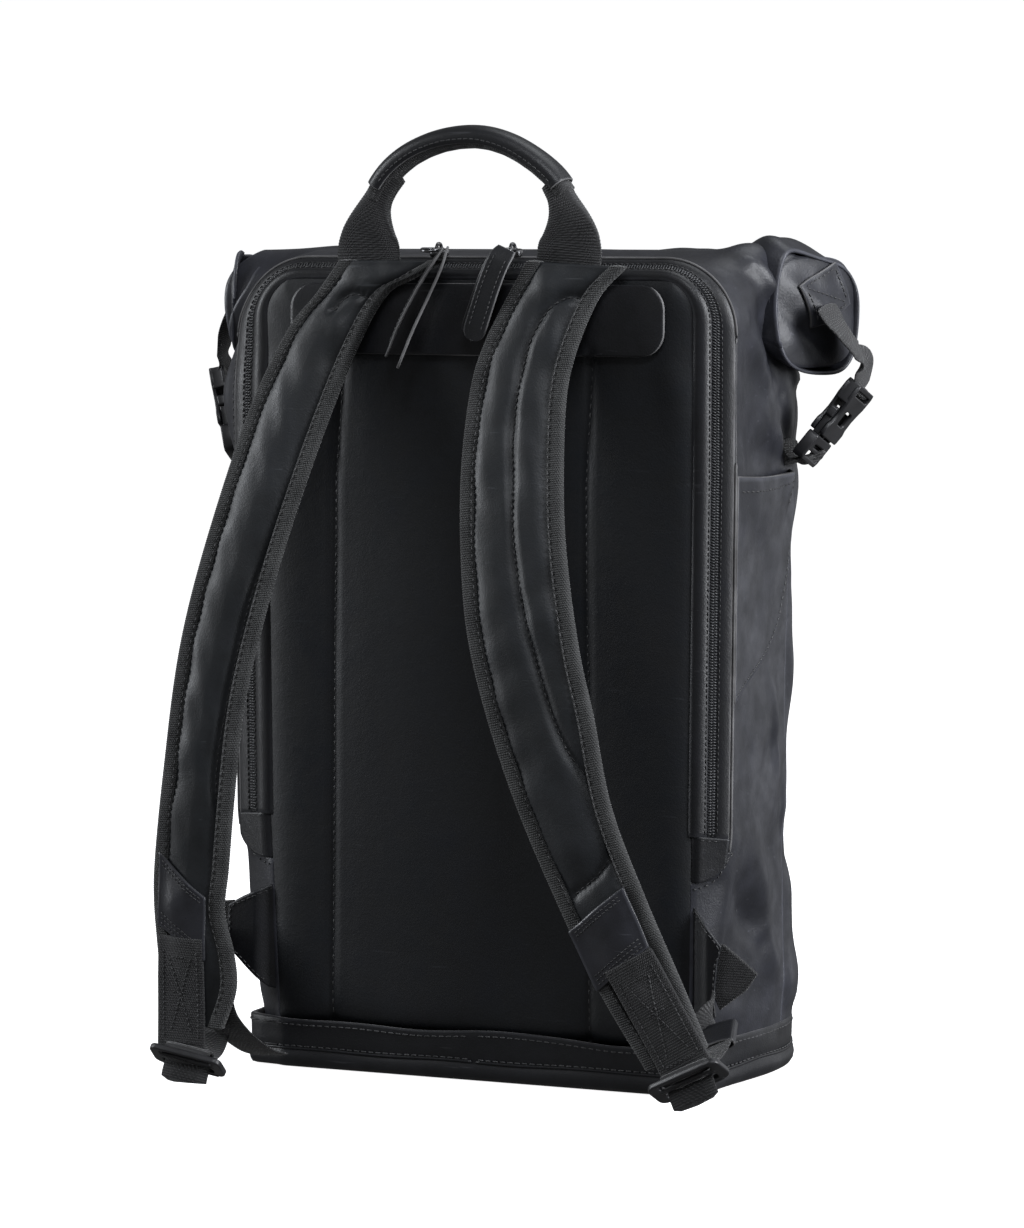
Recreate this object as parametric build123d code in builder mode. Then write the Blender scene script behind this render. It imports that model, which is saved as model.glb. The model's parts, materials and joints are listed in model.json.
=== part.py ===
from build123d import *
import math
import os

# Roll-top leather backpack, standing on its base.
# +Z is up, -Y is the side that lies against the wearer's back, +X is the viewer's right when
# looking at that side. The origin is the centre of the base's underside. Millimetres.

# ---- driving dimensions -------------------------------------------------------------------
LEATHER = 2.0                 # shell leather
BASE_HALF = 130.0             # half width at the base
MID_HEIGHT = 142.0            # height where the sides reach their full width
MID_HALF = 143.0
TOP_HALF = 145.0
SHOULDER_Z = 340.0            # height where the sides stop widening
PANEL_TOP = 453.0             # top of the laptop compartment
PANEL_CORNER = 40.0
BEVEL_BASE = 5.0              # how far the back panel stands inside the sides: at the base,
BEVEL_SIDE = 18.0             # at the height of the zip,
BEVEL_TOP = 9.0               # and along the top
BAND_TOP = 28.0               # leather band round the base
BACK_Y = -70.0                # outer face of the back panel
PANEL_INNER_Y = -67.0
ZIP_Y = -63.0                 # line of the laptop zip, half way along the slanted gusset
TAPE = 2.0                    # depth of each zip tape
SEAM_Y = -56.0                # seam between the slanted gusset and the compartment's wall
DIVIDER_Y = -27.0
SIDE_SEAM_Y = 29.0            # side seam between a side panel and the front panel
FRONT_Y = 76.0                # front face at the base
FRONT_MID_Y = 50.0            # front face where the empty bag sinks in
FRONT_TOP_Y = 60.0
BODY_CORNER = 26.0
BODY_TOP = 350.0
DOOR_Z = 142.0                # flex line of the laptop compartment's back
GAP = 0.4                     # clearance between pieces that move
SEAM_GAP = 0.2                # clearance between sewn pieces
BOARD_MARGIN = 4.0            # the stiffening board's edge inside the base
BOARD_THICK = 3.0

ROLL_Y = 22.0
ROLL_Z = 428.0
ROLL_RADIUS = 29.0
ROLL_LEFT = -197.0
ROLL_RIGHT = 189.0

STRAP_THICK = 12.0
STRAP_SIDE = [(-77.5, 446), (-90, 400), (-108, 340), (-126, 250), (-132, 160), (-130, 100), (-128, 0)]
# height, centre and half width of each shoulder strap, from the top seam to the lower end
STRAPS = {
    "left": [(446, -65, 20), (415, -83, 22), (374, -100, 23), (310, -112, 26), (239, -130, 25),
             (172, -139, 23), (122, -146, 22), (74, -148, 20), (42, -153, 18)],
    "right": [(446, 59, 27), (416, 43, 27), (384, 36, 28), (340, 38, 28), (292, 43, 29),
              (250, 52, 31), (208, 65, 31), (160, 78, 27), (112, 101, 26), (74, 119, 22), (44, 135, 19)],
}
# foot of the strap: where its webbing starts and the lean of its lower end from vertical
STRAP_FOOT = {"left": (-151.0, 73.0, -5.0), "right": (115.5, 75.0, 28.0)}
STRAP_WEB_WIDTH = 28.0
STRAP_WEB_LENGTH = {"left": 50.0, "right": 46.0}
LOCK_WIDTH = 43.0
LOCK_HEIGHT = 18.0
LOCK_Y = -133.0

HANDLE_Y = -70.5
HANDLE_BASE_Z = 452.0
GRIP_LINE = [(-58, 492), (-44, 507), (-24, 517), (-2, 520), (20, 514), (38, 503), (50, 489)]
SLIDER_X = {"left": -26.0, "right": 18.0}
PULL_LEAN = {"left": -27.0, "right": -18.0}
PULL_DROP = 40.0

BUCKLE_WIDTH = 33.0
BUCKLE_ORIGIN = {"left": Vector(-203, 24, 352), "right": Vector(166, 24, 358)}
BUCKLE_UP = {"left": Vector(-0.30, 0.25, 0.92), "right": Vector(0.605, 0.252, 0.756)}
BUCKLE_ACROSS = {"left": Vector(0.10, 0.96, -0.22), "right": Vector(-0.10, 0.96, -0.25)}
FEMALE_LENGTH = 38.0
MALE_BASE = 18.0
PRONG_LENGTH = 22.0
WEB = 2.0                     # thickness of webbing

SIGN = {"left": -1, "right": 1}

os.makedirs("parts", exist_ok=True)


def save(part, name):
    """Label one finished piece and write it."""
    part.label = name
    export_step(part, f"parts/{name}.step")


def half_width(z):
    """Half width of the bag at height z."""
    if z < MID_HEIGHT:
        share = (z - BAND_TOP) / (MID_HEIGHT - BAND_TOP)
        return BASE_HALF + share * (MID_HALF - BASE_HALF)
    share = min(1.0, (z - MID_HEIGHT) / (SHOULDER_Z - MID_HEIGHT))
    return MID_HALF + share * (TOP_HALF - MID_HALF)


def facing_back(y):
    """Plane that draws in X and Z at depth y and extrudes towards -Y."""
    return Plane.XZ.offset(-y)


def outline(points):
    """Straight-sided face through a list of points."""
    with BuildSketch() as face:
        with BuildLine():
            Polyline(*points, close=True)
        make_face()
    return face.sketch


def arch(share, bottom, inset=0.0):
    """Arch-shaped outline of the laptop compartment: share 0 at the seam, 1 at the back panel."""
    right = []
    for z in (bottom, MID_HEIGHT, SHOULDER_Z):
        if z >= bottom:
            low_share = max(0.0, (MID_HEIGHT - z) / (MID_HEIGHT - BAND_TOP))
            bevel = BEVEL_SIDE + low_share * (BEVEL_BASE - BEVEL_SIDE)
            right.append((half_width(z) - share * bevel - inset, z))
    right.append((right[-1][0], PANEL_TOP - share * BEVEL_TOP - inset))
    if bottom == MID_HEIGHT:
        right = right[1:]
    points = right + [(-x, z) for x, z in reversed(right)]
    with BuildSketch() as face:
        add(outline(points))
        fillet(face.vertices().group_by(Axis.Y)[-1], PANEL_CORNER - share * BEVEL_SIDE - inset)
    return face.sketch


def band(points, halves):
    """Outline of a strip along a line of points, with one half width for each point."""
    one = []
    other = []
    for i, (x, z) in enumerate(points):
        ahead = points[min(i + 1, len(points) - 1)]
        behind = points[max(i - 1, 0)]
        dx = ahead[0] - behind[0]
        dz = ahead[1] - behind[1]
        length = math.hypot(dx, dz)
        side = (-dz / length * halves[i], dx / length * halves[i])
        one.append((x + side[0], z + side[1]))
        other.append((x - side[0], z - side[1]))
    return one + other[::-1]


def plate(points, y_near, y_far):
    """Straight-sided piece drawn in X and Z that fills the space between two depths."""
    with BuildPart() as piece:
        with BuildSketch(facing_back(y_far)):
            add(outline(points))
        extrude(amount=y_far - y_near)
    return piece.part


def strap_side(z):
    """Depth of a shoulder strap's middle layer at height z."""
    for (y_hi, z_hi), (y_lo, z_lo) in zip(STRAP_SIDE, STRAP_SIDE[1:]):
        if z >= z_lo:
            return y_lo + (y_hi - y_lo) * (z - z_lo) / (z_hi - z_lo)
    return STRAP_SIDE[-1][0]


def bow_layer(outer, inner, top, bottom):
    """Layer that follows the shoulder straps' bow, between two offsets, right across the bag."""
    heights = [top] + [z for _, z in STRAP_SIDE if bottom < z < top] + [bottom]
    front = [(strap_side(z) - outer, z) for z in heights]
    back = [(strap_side(z) + inner, z) for z in reversed(heights)]
    with BuildPart() as layer:
        with BuildSketch(Plane.YZ.offset(-250)):
            add(outline(front + back))
        extrude(amount=500)
    return layer.part


# ---- base ---------------------------------------------------------------------------------
base_depth = FRONT_Y - BACK_Y
base_centre = (FRONT_Y + BACK_Y) / 2
with BuildPart() as base_tray:
    with BuildSketch():
        with Locations((0, base_centre)):
            RectangleRounded(2 * BASE_HALF, base_depth, BODY_CORNER)
    extrude(amount=BAND_TOP)
    with BuildSketch(Plane.XY.offset(LEATHER)):
        with Locations((0, base_centre)):
            RectangleRounded(2 * (BASE_HALF - LEATHER), base_depth - 2 * LEATHER, BODY_CORNER - LEATHER)
    extrude(amount=BAND_TOP, mode=Mode.SUBTRACT)
save(base_tray.part, "base_band")

with BuildPart() as base_board:
    with BuildSketch(Plane.XY.offset(LEATHER)):
        with Locations((0, base_centre)):
            board_depth = base_depth - 2 * BOARD_MARGIN
            RectangleRounded(2 * (BASE_HALF - BOARD_MARGIN), board_depth, BODY_CORNER - BOARD_MARGIN)
    extrude(amount=BOARD_THICK)
save(base_board.part, "base_board")


# ---- main compartment -----------------------------------------------------------------------
def body_solid(inset):
    """Main compartment as two stacked lofts, widening upwards; its back is cut away later."""
    levels = [
        (BAND_TOP, BASE_HALF, FRONT_Y),
        (MID_HEIGHT, MID_HALF, FRONT_MID_Y),
        (BODY_TOP, TOP_HALF, FRONT_TOP_Y),
    ]
    with BuildPart() as body:
        for low, high in zip(levels, levels[1:]):
            for z, half, front in (low, high):
                depth = front - BACK_Y - inset
                with BuildSketch(Plane.XY.offset(z)):
                    with Locations((0, BACK_Y + depth / 2)):
                        RectangleRounded(2 * (half - inset), depth, BODY_CORNER - inset)
            loft()
    return body.part


SIDE_BACK_Y = DIVIDER_Y + LEATHER + SEAM_GAP
side_boxes = {"left": (-200, -100), "right": (100, 200)}
for side, (x_low, x_high) in side_boxes.items():
    with BuildPart() as side_panel:
        add(body_solid(0))
        add(body_solid(LEATHER), mode=Mode.SUBTRACT)
        with BuildSketch():
            with Locations(((x_low + x_high) / 2, (SIDE_BACK_Y + SIDE_SEAM_Y) / 2)):
                Rectangle(x_high - x_low, SIDE_SEAM_Y - SIDE_BACK_Y)
        extrude(amount=BODY_TOP + 10, mode=Mode.INTERSECT)
    save(side_panel.part, f"side_panel_{side}")

with BuildPart() as front_panel:
    add(body_solid(0))
    add(body_solid(LEATHER), mode=Mode.SUBTRACT)
    with BuildSketch():
        with Locations((0, SIDE_SEAM_Y + 50)):
            Rectangle(400, 100)
    extrude(amount=BODY_TOP + 10, mode=Mode.INTERSECT)
save(front_panel.part, "front_panel")

with BuildPart() as divider:
    with BuildSketch(facing_back(DIVIDER_Y + LEATHER)):
        add(arch(0, BAND_TOP, LEATHER + 0.5))
    extrude(amount=LEATHER)
save(divider.part, "divider_panel")

# collar: the part of the main compartment that closes up flat and goes into the roll
COLLAR_TOP = ROLL_Z - ROLL_RADIUS - 0.3
COLLAR_CORNER = 10.0
MOUTH_DEPTH = 20.0
MOUTH_INSET = 8.0             # how far the mouth stands inside each end of the roll


def collar_solid(inset):
    """Loft from the rounded body to the flat mouth that enters the roll."""
    with BuildPart() as solid:
        with BuildSketch(Plane.XY.offset(BODY_TOP)):
            with Locations((0, (SIDE_BACK_Y + FRONT_TOP_Y) / 2)):
                depth = FRONT_TOP_Y - SIDE_BACK_Y - 2 * inset
                RectangleRounded(2 * (TOP_HALF - inset), depth, COLLAR_CORNER - inset)
        with BuildSketch(Plane.XY.offset(COLLAR_TOP)):
            with Locations(((ROLL_LEFT + ROLL_RIGHT) / 2, ROLL_Y)):
                width = ROLL_RIGHT - ROLL_LEFT - 2 * (MOUTH_INSET + inset)
                RectangleRounded(width, MOUTH_DEPTH - 2 * inset, COLLAR_CORNER - 1 - inset)
        loft()
    return solid.part


with BuildPart() as collar:
    add(collar_solid(0))
    add(collar_solid(LEATHER), mode=Mode.SUBTRACT)
save(collar.part, "collar")

# the roll: the mouth of the bag, flattened and rolled up, in three nested wraps
WRAP_THICK = 4.0
wraps = {"roll_outer_wrap": (ROLL_RADIUS, 0), "roll_inner_wrap": (21, 6), "mouth_hem": (12, 4)}
for name, (radius, recess) in wraps.items():
    with BuildPart() as wrap:
        with BuildSketch(Plane.YZ.offset(ROLL_LEFT + recess)):
            with Locations((ROLL_Y, ROLL_Z)):
                Circle(radius)
                Circle(radius - WRAP_THICK, mode=Mode.SUBTRACT)
        extrude(amount=ROLL_RIGHT - ROLL_LEFT - 2 * recess)
    save(wrap.part, name)

# side pockets: D-shaped, open at the top, with a curved lower seam
POCKET_TOP = 336.0
POCKET_DEPTH = 8.0
for side, sign in SIGN.items():
    outer = [(-22, POCKET_TOP), (-22, 218), (0, 224), (14, 236), (24, 260), (28, 296), (28, POCKET_TOP)]
    over = POCKET_TOP + 1
    inner = [(-20, over), (-20, 221), (-1, 226), (12.6, 237.5), (22, 261), (26, 297), (26, over)]
    start = TOP_HALF + SEAM_GAP
    with BuildPart() as pocket:
        with BuildSketch(Plane.YZ.offset(sign * start)):
            add(outline(outer))
        extrude(amount=sign * POCKET_DEPTH)
        with BuildSketch(Plane.YZ.offset(sign * start)):
            add(outline(inner))
        extrude(amount=sign * (POCKET_DEPTH - LEATHER), mode=Mode.SUBTRACT)
    save(pocket.part, f"side_pocket_{side}")


# ---- laptop compartment ---------------------------------------------------------------------
def arch_ring(y_near, y_far, bottom):
    """Strip of leather or tape up one side, over the top and down the other.

    Between the back panel and the seam the strip slants outwards; behind the seam it is straight.
    """
    with BuildPart() as ring:
        for inset, mode in ((0.0, Mode.ADD), (LEATHER, Mode.SUBTRACT)):
            for y in (y_near, y_far):
                share = max(0.0, (SEAM_Y - y) / (SEAM_Y - PANEL_INNER_Y))
                with BuildSketch(facing_back(y)):
                    add(arch(share, bottom, inset))
            loft(mode=mode)
    return ring.part


with BuildPart() as laptop_wall:
    add(arch_ring(SEAM_Y, DIVIDER_Y, BAND_TOP))
save(laptop_wall.part, "laptop_wall")

with BuildPart() as gusset_bag:
    add(arch_ring(ZIP_Y + TAPE, SEAM_Y, BAND_TOP))
save(gusset_bag.part, "gusset_bag_side")

with BuildPart() as tape_bag:
    add(arch_ring(ZIP_Y + GAP, ZIP_Y + TAPE, DOOR_Z))
save(tape_bag.part, "zip_tape_bag_side")

with BuildPart() as tape_door:
    add(arch_ring(ZIP_Y - TAPE, ZIP_Y, DOOR_Z + GAP))
save(tape_door.part, "zip_tape_door_side")

with BuildPart() as gusset_door:
    add(arch_ring(PANEL_INNER_Y, ZIP_Y - TAPE, DOOR_Z + GAP))
save(gusset_door.part, "gusset_door_side")


def below_flex_line():
    """Everything of the compartment that stays with the bag when its back leans open."""
    with BuildPart() as space:
        with BuildSketch(Plane.XY.offset(BAND_TOP)):
            Rectangle(400, 400)
        extrude(amount=DOOR_Z - BAND_TOP - GAP)
    return space.part


with BuildPart() as gusset_lower:
    add(arch_ring(PANEL_INNER_Y, ZIP_Y + TAPE, BAND_TOP))
    add(below_flex_line(), mode=Mode.INTERSECT)
save(gusset_lower.part, "gusset_lower")

FOAM_MARGIN = 8.0
FOAM_THICK = 6.0
with BuildPart() as back_panel:
    with BuildSketch(facing_back(PANEL_INNER_Y)):
        add(arch(1, DOOR_Z + GAP))
    extrude(amount=PANEL_INNER_Y - BACK_Y)
save(back_panel.part, "back_panel")

with BuildPart() as back_foam:
    with BuildSketch(facing_back(PANEL_INNER_Y + FOAM_THICK)):
        add(arch(1, DOOR_Z + FOAM_MARGIN, FOAM_MARGIN))
    extrude(amount=FOAM_THICK)
save(back_foam.part, "back_foam")

with BuildPart() as panel_lower:
    with BuildSketch(facing_back(PANEL_INNER_Y)):
        add(arch(1, BAND_TOP))
    extrude(amount=PANEL_INNER_Y - BACK_Y)
    add(below_flex_line(), mode=Mode.INTERSECT)
save(panel_lower.part, "back_panel_lower")

TOP_PATCH_Z = 420.0
TOP_PATCH_WIDTH = 222.0
TOP_PATCH_HEIGHT = 38.0
with BuildPart() as top_patch:
    with BuildSketch(facing_back(BACK_Y)):
        with Locations((0, TOP_PATCH_Z)):
            RectangleRounded(TOP_PATCH_WIDTH, TOP_PATCH_HEIGHT, 6)
    extrude(amount=LEATHER)
save(top_patch.part, "top_patch")

PATCH_LOW = 118.0
for side, sign in SIGN.items():
    with BuildPart() as end_patch:
        for proud, mode in ((1.6, Mode.ADD), (0.1, Mode.SUBTRACT)):
            for y, share in ((PANEL_INNER_Y + 1, 0.9), (SEAM_Y, 0.0)):
                with BuildSketch(facing_back(y)):
                    add(arch(share, BAND_TOP, -proud))
            loft(mode=mode)
        with BuildSketch(Plane.XY.offset(PATCH_LOW)):
            with Locations((sign * 150, SEAM_Y)):
                Rectangle(100, 60)
        extrude(amount=DOOR_Z - PATCH_LOW - GAP, mode=Mode.INTERSECT)
    save(end_patch.part, f"zip_end_patch_{side}")

# ---- wings at the lower corners, and keeper loops ------------------------------------------
WING = {
    "right": [(116, 106), (138, 88), (161, 70), (143, 48), (130, 44), (116, 44)],
    "left": [(-118, 102), (-138, 92), (-155, 88), (-156, 66), (-134, 44), (-118, 44)],
}
WING_THICK = 3.0
for side, points in WING.items():
    with BuildPart() as wing:
        add(plate(points, BACK_Y - WING_THICK, BACK_Y))
    save(wing.part, f"wing_{side}")

KEEPER_X = 116.0
KEEPER_Z = 33.0
KEEPER_WIDTH = 16.0
KEEPER_HEIGHT = 18.0
KEEPER_DEPTH = 6.0
for side, sign in SIGN.items():
    with BuildPart() as keeper:
        with BuildSketch(facing_back(BACK_Y - 0.1)):
            with Locations((sign * KEEPER_X, KEEPER_Z)):
                RectangleRounded(KEEPER_WIDTH, KEEPER_HEIGHT, 2)
        extrude(amount=KEEPER_DEPTH)
        with BuildSketch(Plane.XY.offset(KEEPER_Z - KEEPER_HEIGHT)):
            with Locations((sign * KEEPER_X, BACK_Y - KEEPER_DEPTH / 2)):
                Rectangle(KEEPER_WIDTH - 2 * LEATHER, KEEPER_DEPTH / 2)
        extrude(amount=2 * KEEPER_HEIGHT, mode=Mode.SUBTRACT)
    save(keeper.part, f"keeper_{side}")

# ---- shoulder straps -------------------------------------------------------------------------
STRAP_NEAR_Y = -180.0         # depths that take in the whole bow of a strap
STRAP_FAR_Y = -50.0
BADGE_LENGTH = 42.0
BADGE_THICK = 1.5
LOCK_THICK = 4.0
ADJUSTER_WIDTH = 25.0
for side, stations in STRAPS.items():
    line = [(x, z) for z, x, _ in stations]
    halves = [h for _, _, h in stations]
    with BuildPart() as strap:
        add(plate(band(line, halves), STRAP_NEAR_Y, STRAP_FAR_Y))
        add(bow_layer(STRAP_THICK / 2, STRAP_THICK / 2, 448, 20), mode=Mode.INTERSECT)
    save(strap.part, f"strap_{side}")

    foot_x, foot_z, lean = STRAP_FOOT[side]
    down = (math.sin(math.radians(lean)), -math.cos(math.radians(lean)))
    high = (foot_x - (BADGE_LENGTH + 4) * down[0], foot_z - (BADGE_LENGTH + 4) * down[1])
    low = (foot_x - 4 * down[0], foot_z - 4 * down[1])
    with BuildPart() as badge:
        add(plate(band([high, low], [17, 15]), STRAP_NEAR_Y, STRAP_FAR_Y))
        add(bow_layer(STRAP_THICK / 2 + BADGE_THICK, -STRAP_THICK / 2, 160, 40), mode=Mode.INTERSECT)
    save(badge.part, f"strap_badge_{side}")

    web_start = (foot_x + 5 * down[0], foot_z + 5 * down[1])
    web_end = (foot_x + STRAP_WEB_LENGTH[side] * down[0], foot_z + STRAP_WEB_LENGTH[side] * down[1])
    half_web = STRAP_WEB_WIDTH / 2
    with BuildPart() as strap_web:
        add(plate(band([web_start, web_end], [half_web, half_web]), STRAP_NEAR_Y, STRAP_FAR_Y))
        add(bow_layer(STRAP_THICK / 2 + WEB, -STRAP_THICK / 2, 120, 5), mode=Mode.INTERSECT)
    save(strap_web.part, f"strap_webbing_{side}")

    lock_x = foot_x + (STRAP_WEB_LENGTH[side] + LOCK_HEIGHT / 2 + 2) * down[0]
    lock_z = foot_z + (STRAP_WEB_LENGTH[side] + LOCK_HEIGHT / 2 + 2) * down[1]
    across = (-down[1], 0, down[0])
    lock_plane = Plane(origin=(lock_x, LOCK_Y, lock_z), x_dir=across, z_dir=(0, -1, 0))
    with BuildPart() as ladder_lock:
        with BuildSketch(lock_plane):
            RectangleRounded(LOCK_WIDTH, LOCK_HEIGHT, 4)
            with Locations((0, 3.8), (0, -3.8)):
                RectangleRounded(31, 4.2, 1.5, mode=Mode.SUBTRACT)
        extrude(amount=LOCK_THICK)
    save(ladder_lock.part, f"ladder_lock_{side}")

    with BuildPart() as adjuster:
        with BuildSketch(Plane.YZ.offset(lock_x - 2 - ADJUSTER_WIDTH / 2)):
            add(outline(band([(-118, 30), (-108, 44), (-98, 60)], [WEB / 2] * 3)))
        extrude(amount=ADJUSTER_WIDTH)
    save(adjuster.part, f"adjuster_webbing_{side}")

# ---- carrying handle -------------------------------------------------------------------------
LEFT_LEG = [(-83, HANDLE_BASE_Z), (-68, 478), (-63, 488), (-52, 486), (-46, HANDLE_BASE_Z)]
RIGHT_LEG = [(72, HANDLE_BASE_Z), (58, 476), (54, 485), (44, 484), (36, HANDLE_BASE_Z)]
GRIP_HALF_HEIGHT = 6.5
GRIP_HALF_DEPTH = 9.0
CORE_HALF_HEIGHT = 4.0
CORE_HALF_DEPTH = 6.0
with BuildPart() as handle_webbing:
    add(plate(LEFT_LEG, HANDLE_Y - WEB / 2, HANDLE_Y + WEB / 2))
    add(plate(RIGHT_LEG, HANDLE_Y - WEB / 2, HANDLE_Y + WEB / 2))
save(handle_webbing.part, "handle_webbing")

grip_outline = band(GRIP_LINE, [GRIP_HALF_HEIGHT] * len(GRIP_LINE))
core_outline = band(GRIP_LINE, [CORE_HALF_HEIGHT] * len(GRIP_LINE))
with BuildPart() as grip_core:
    add(plate(core_outline, HANDLE_Y - CORE_HALF_DEPTH, HANDLE_Y + CORE_HALF_DEPTH))
save(grip_core.part, "handle_core")

with BuildPart() as grip:
    add(plate(grip_outline, HANDLE_Y - GRIP_HALF_DEPTH, HANDLE_Y + GRIP_HALF_DEPTH))
    add(grip_core.part, mode=Mode.SUBTRACT)
save(grip.part, "handle_grip")

# ---- zip sliders and pulls -------------------------------------------------------------------
RING_WIDTH = 15.0
RING_WIRE = 2.2
TAB_WIDTH = 13.0
TAB_HALF_THICK = 1.3
for side, x in SLIDER_X.items():
    with BuildPart() as slider:
        with BuildSketch(Plane.XY.offset(PANEL_TOP)):
            with Locations((x, ZIP_Y)):
                RectangleRounded(13, 7, 2)
        extrude(amount=3)
        with BuildSketch(Plane.XY.offset(PANEL_TOP + 3)):
            with Locations((x, ZIP_Y)):
                RectangleRounded(5, 6, 1)
        extrude(amount=2)
    save(slider.part, f"zip_slider_{side}")

    lean = math.radians(PULL_LEAN[side])
    normal = Vector(math.cos(lean), 0, math.sin(lean))
    pull_plane = Plane(origin=(x, 0, PANEL_TOP + 5), x_dir=(0, 1, 0), z_dir=normal)
    ring_plane = Plane(origin=(x, ZIP_Y - 11.5, PANEL_TOP + 4), x_dir=(1, 0, 0), z_dir=(0, 0, 1))
    with BuildPart() as ring:
        with BuildSketch(ring_plane):
            RectangleRounded(RING_WIDTH, RING_WIDTH, 6)
            RectangleRounded(RING_WIDTH - 2 * RING_WIRE, RING_WIDTH - 2 * RING_WIRE, 4, mode=Mode.SUBTRACT)
        extrude(amount=RING_WIRE)
    save(ring.part, f"pull_ring_{side}")

    with BuildPart() as tab:
        with BuildSketch(pull_plane.offset(-TAB_WIDTH / 2)):
            add(outline(band([(-83.5, 0), (-88, -3), (-91, -11), (-92, -PULL_DROP)], [TAB_HALF_THICK] * 4)))
        extrude(amount=TAB_WIDTH)
    save(tab.part, f"pull_tab_{side}")

# ---- side-release buckles --------------------------------------------------------------------
ANCHOR = {
    "right": [(153, 340.2), (150, 338.8), (147.6, 342), (146.8, 348)],
    "left": [(-190, 332.6), (-166, 338.6), (-148, 342), (-146.8, 348)],
}
ROLL_WEB = {
    "right": [(190.5, 436), (193, 426), (193.5, 418)],
    "left": [(-198.5, 436), (-201, 426), (-201.5, 418)],
}
FEMALE_THICK = 10.0
MALE_THICK = 8.4
PRONG_THICK = 4.8
PRONG_WIDTH = 3.6
PRONG_SPACING = 11.5
BUCKLE_WALL = 1.6
SLOT_WIDTH = 26.5
ROLL_WEB_WIDTH = 25.0
for side, origin in BUCKLE_ORIGIN.items():
    across = BUCKLE_ACROSS[side]
    face_out = across.cross(BUCKLE_UP[side]).normalized()
    middle = Plane(origin=origin, x_dir=across, z_dir=face_out)
    half = BUCKLE_WIDTH / 2
    with BuildPart() as female:
        with BuildSketch(middle.offset(-FEMALE_THICK / 2)):
            with Locations((0, 0.4 + FEMALE_LENGTH / 2)):
                RectangleRounded(BUCKLE_WIDTH, FEMALE_LENGTH, 4)
            with Locations((0, FEMALE_LENGTH - 5)):
                RectangleRounded(SLOT_WIDTH, 4, 1, mode=Mode.SUBTRACT)
        extrude(amount=FEMALE_THICK)
        with BuildSketch(middle.offset(BUCKLE_WALL - FEMALE_THICK / 2)):
            with Locations((0, 13)):
                Rectangle(BUCKLE_WIDTH - 2 * BUCKLE_WALL, 27)
            with Locations((half, 12), (-half, 12)):
                Rectangle(8, 12)
        extrude(amount=FEMALE_THICK - 2 * BUCKLE_WALL, mode=Mode.SUBTRACT)
    save(female.part, f"female_buckle_{side}")

    with BuildPart() as male:
        with BuildSketch(middle.offset(-MALE_THICK / 2)):
            with Locations((0, -MALE_BASE / 2)):
                RectangleRounded(BUCKLE_WIDTH - 1, MALE_BASE, 3)
            with Locations((0, -MALE_BASE + 5)):
                RectangleRounded(SLOT_WIDTH, 4, 1, mode=Mode.SUBTRACT)
        extrude(amount=MALE_THICK)
        with BuildSketch(middle.offset(-PRONG_THICK / 2)):
            for prong in (-PRONG_SPACING, 0, PRONG_SPACING):
                with Locations((prong, PRONG_LENGTH / 2 - 1)):
                    RectangleRounded(PRONG_WIDTH, PRONG_LENGTH + 2, 1.2)
        extrude(amount=PRONG_THICK)
    save(male.part, f"male_buckle_{side}")

    with BuildPart() as anchor:
        add(plate(band(ANCHOR[side], [WEB / 2] * 4), 12, 12 + ROLL_WEB_WIDTH))
    save(anchor.part, f"anchor_webbing_{side}")

    with BuildPart() as roll_web:
        add(plate(band(ROLL_WEB[side], [WEB / 2] * 3), ROLL_Y, ROLL_Y + ROLL_WEB_WIDTH))
    save(roll_web.part, f"roll_webbing_{side}")

    with BuildPart() as buckle_web:
        with BuildSketch(middle.offset(-WEB / 2)):
            with Locations((0, FEMALE_LENGTH + 5)):
                Rectangle(ROLL_WEB_WIDTH, 8)
        extrude(amount=WEB)
    save(buckle_web.part, f"buckle_webbing_{side}")
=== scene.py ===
"""Looks of a black waxed-leather roll-top backpack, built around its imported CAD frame.

The frame's axes: +Z up, -Y towards the wearer's back, +X to the viewer's right. Shapes are worked
out in millimetres and turned into metres when a mesh is made.
"""
import json
import math

import bmesh
import bpy
import numpy as np
from mathutils import Matrix, Vector

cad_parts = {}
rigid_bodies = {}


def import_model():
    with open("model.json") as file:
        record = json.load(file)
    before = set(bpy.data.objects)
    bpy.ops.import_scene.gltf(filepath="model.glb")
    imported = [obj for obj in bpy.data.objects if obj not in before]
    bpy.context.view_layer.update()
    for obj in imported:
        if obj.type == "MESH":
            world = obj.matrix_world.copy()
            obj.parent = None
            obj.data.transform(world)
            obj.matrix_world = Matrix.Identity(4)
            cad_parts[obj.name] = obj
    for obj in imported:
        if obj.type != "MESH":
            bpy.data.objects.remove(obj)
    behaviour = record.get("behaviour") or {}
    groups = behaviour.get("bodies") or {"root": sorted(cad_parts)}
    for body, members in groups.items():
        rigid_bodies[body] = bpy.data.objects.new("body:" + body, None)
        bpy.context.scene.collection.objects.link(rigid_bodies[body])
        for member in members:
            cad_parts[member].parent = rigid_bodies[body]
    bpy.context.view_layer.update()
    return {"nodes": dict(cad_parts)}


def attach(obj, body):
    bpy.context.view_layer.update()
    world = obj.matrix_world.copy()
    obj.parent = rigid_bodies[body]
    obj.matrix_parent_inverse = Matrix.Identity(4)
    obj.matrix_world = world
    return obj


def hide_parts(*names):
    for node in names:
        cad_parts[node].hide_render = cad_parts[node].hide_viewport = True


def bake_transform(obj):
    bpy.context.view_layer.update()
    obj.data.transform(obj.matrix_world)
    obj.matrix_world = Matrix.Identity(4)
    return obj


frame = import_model()
MM = 0.001
TAU = 2 * math.pi
SIDES = {"left": -1, "right": 1}

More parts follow.
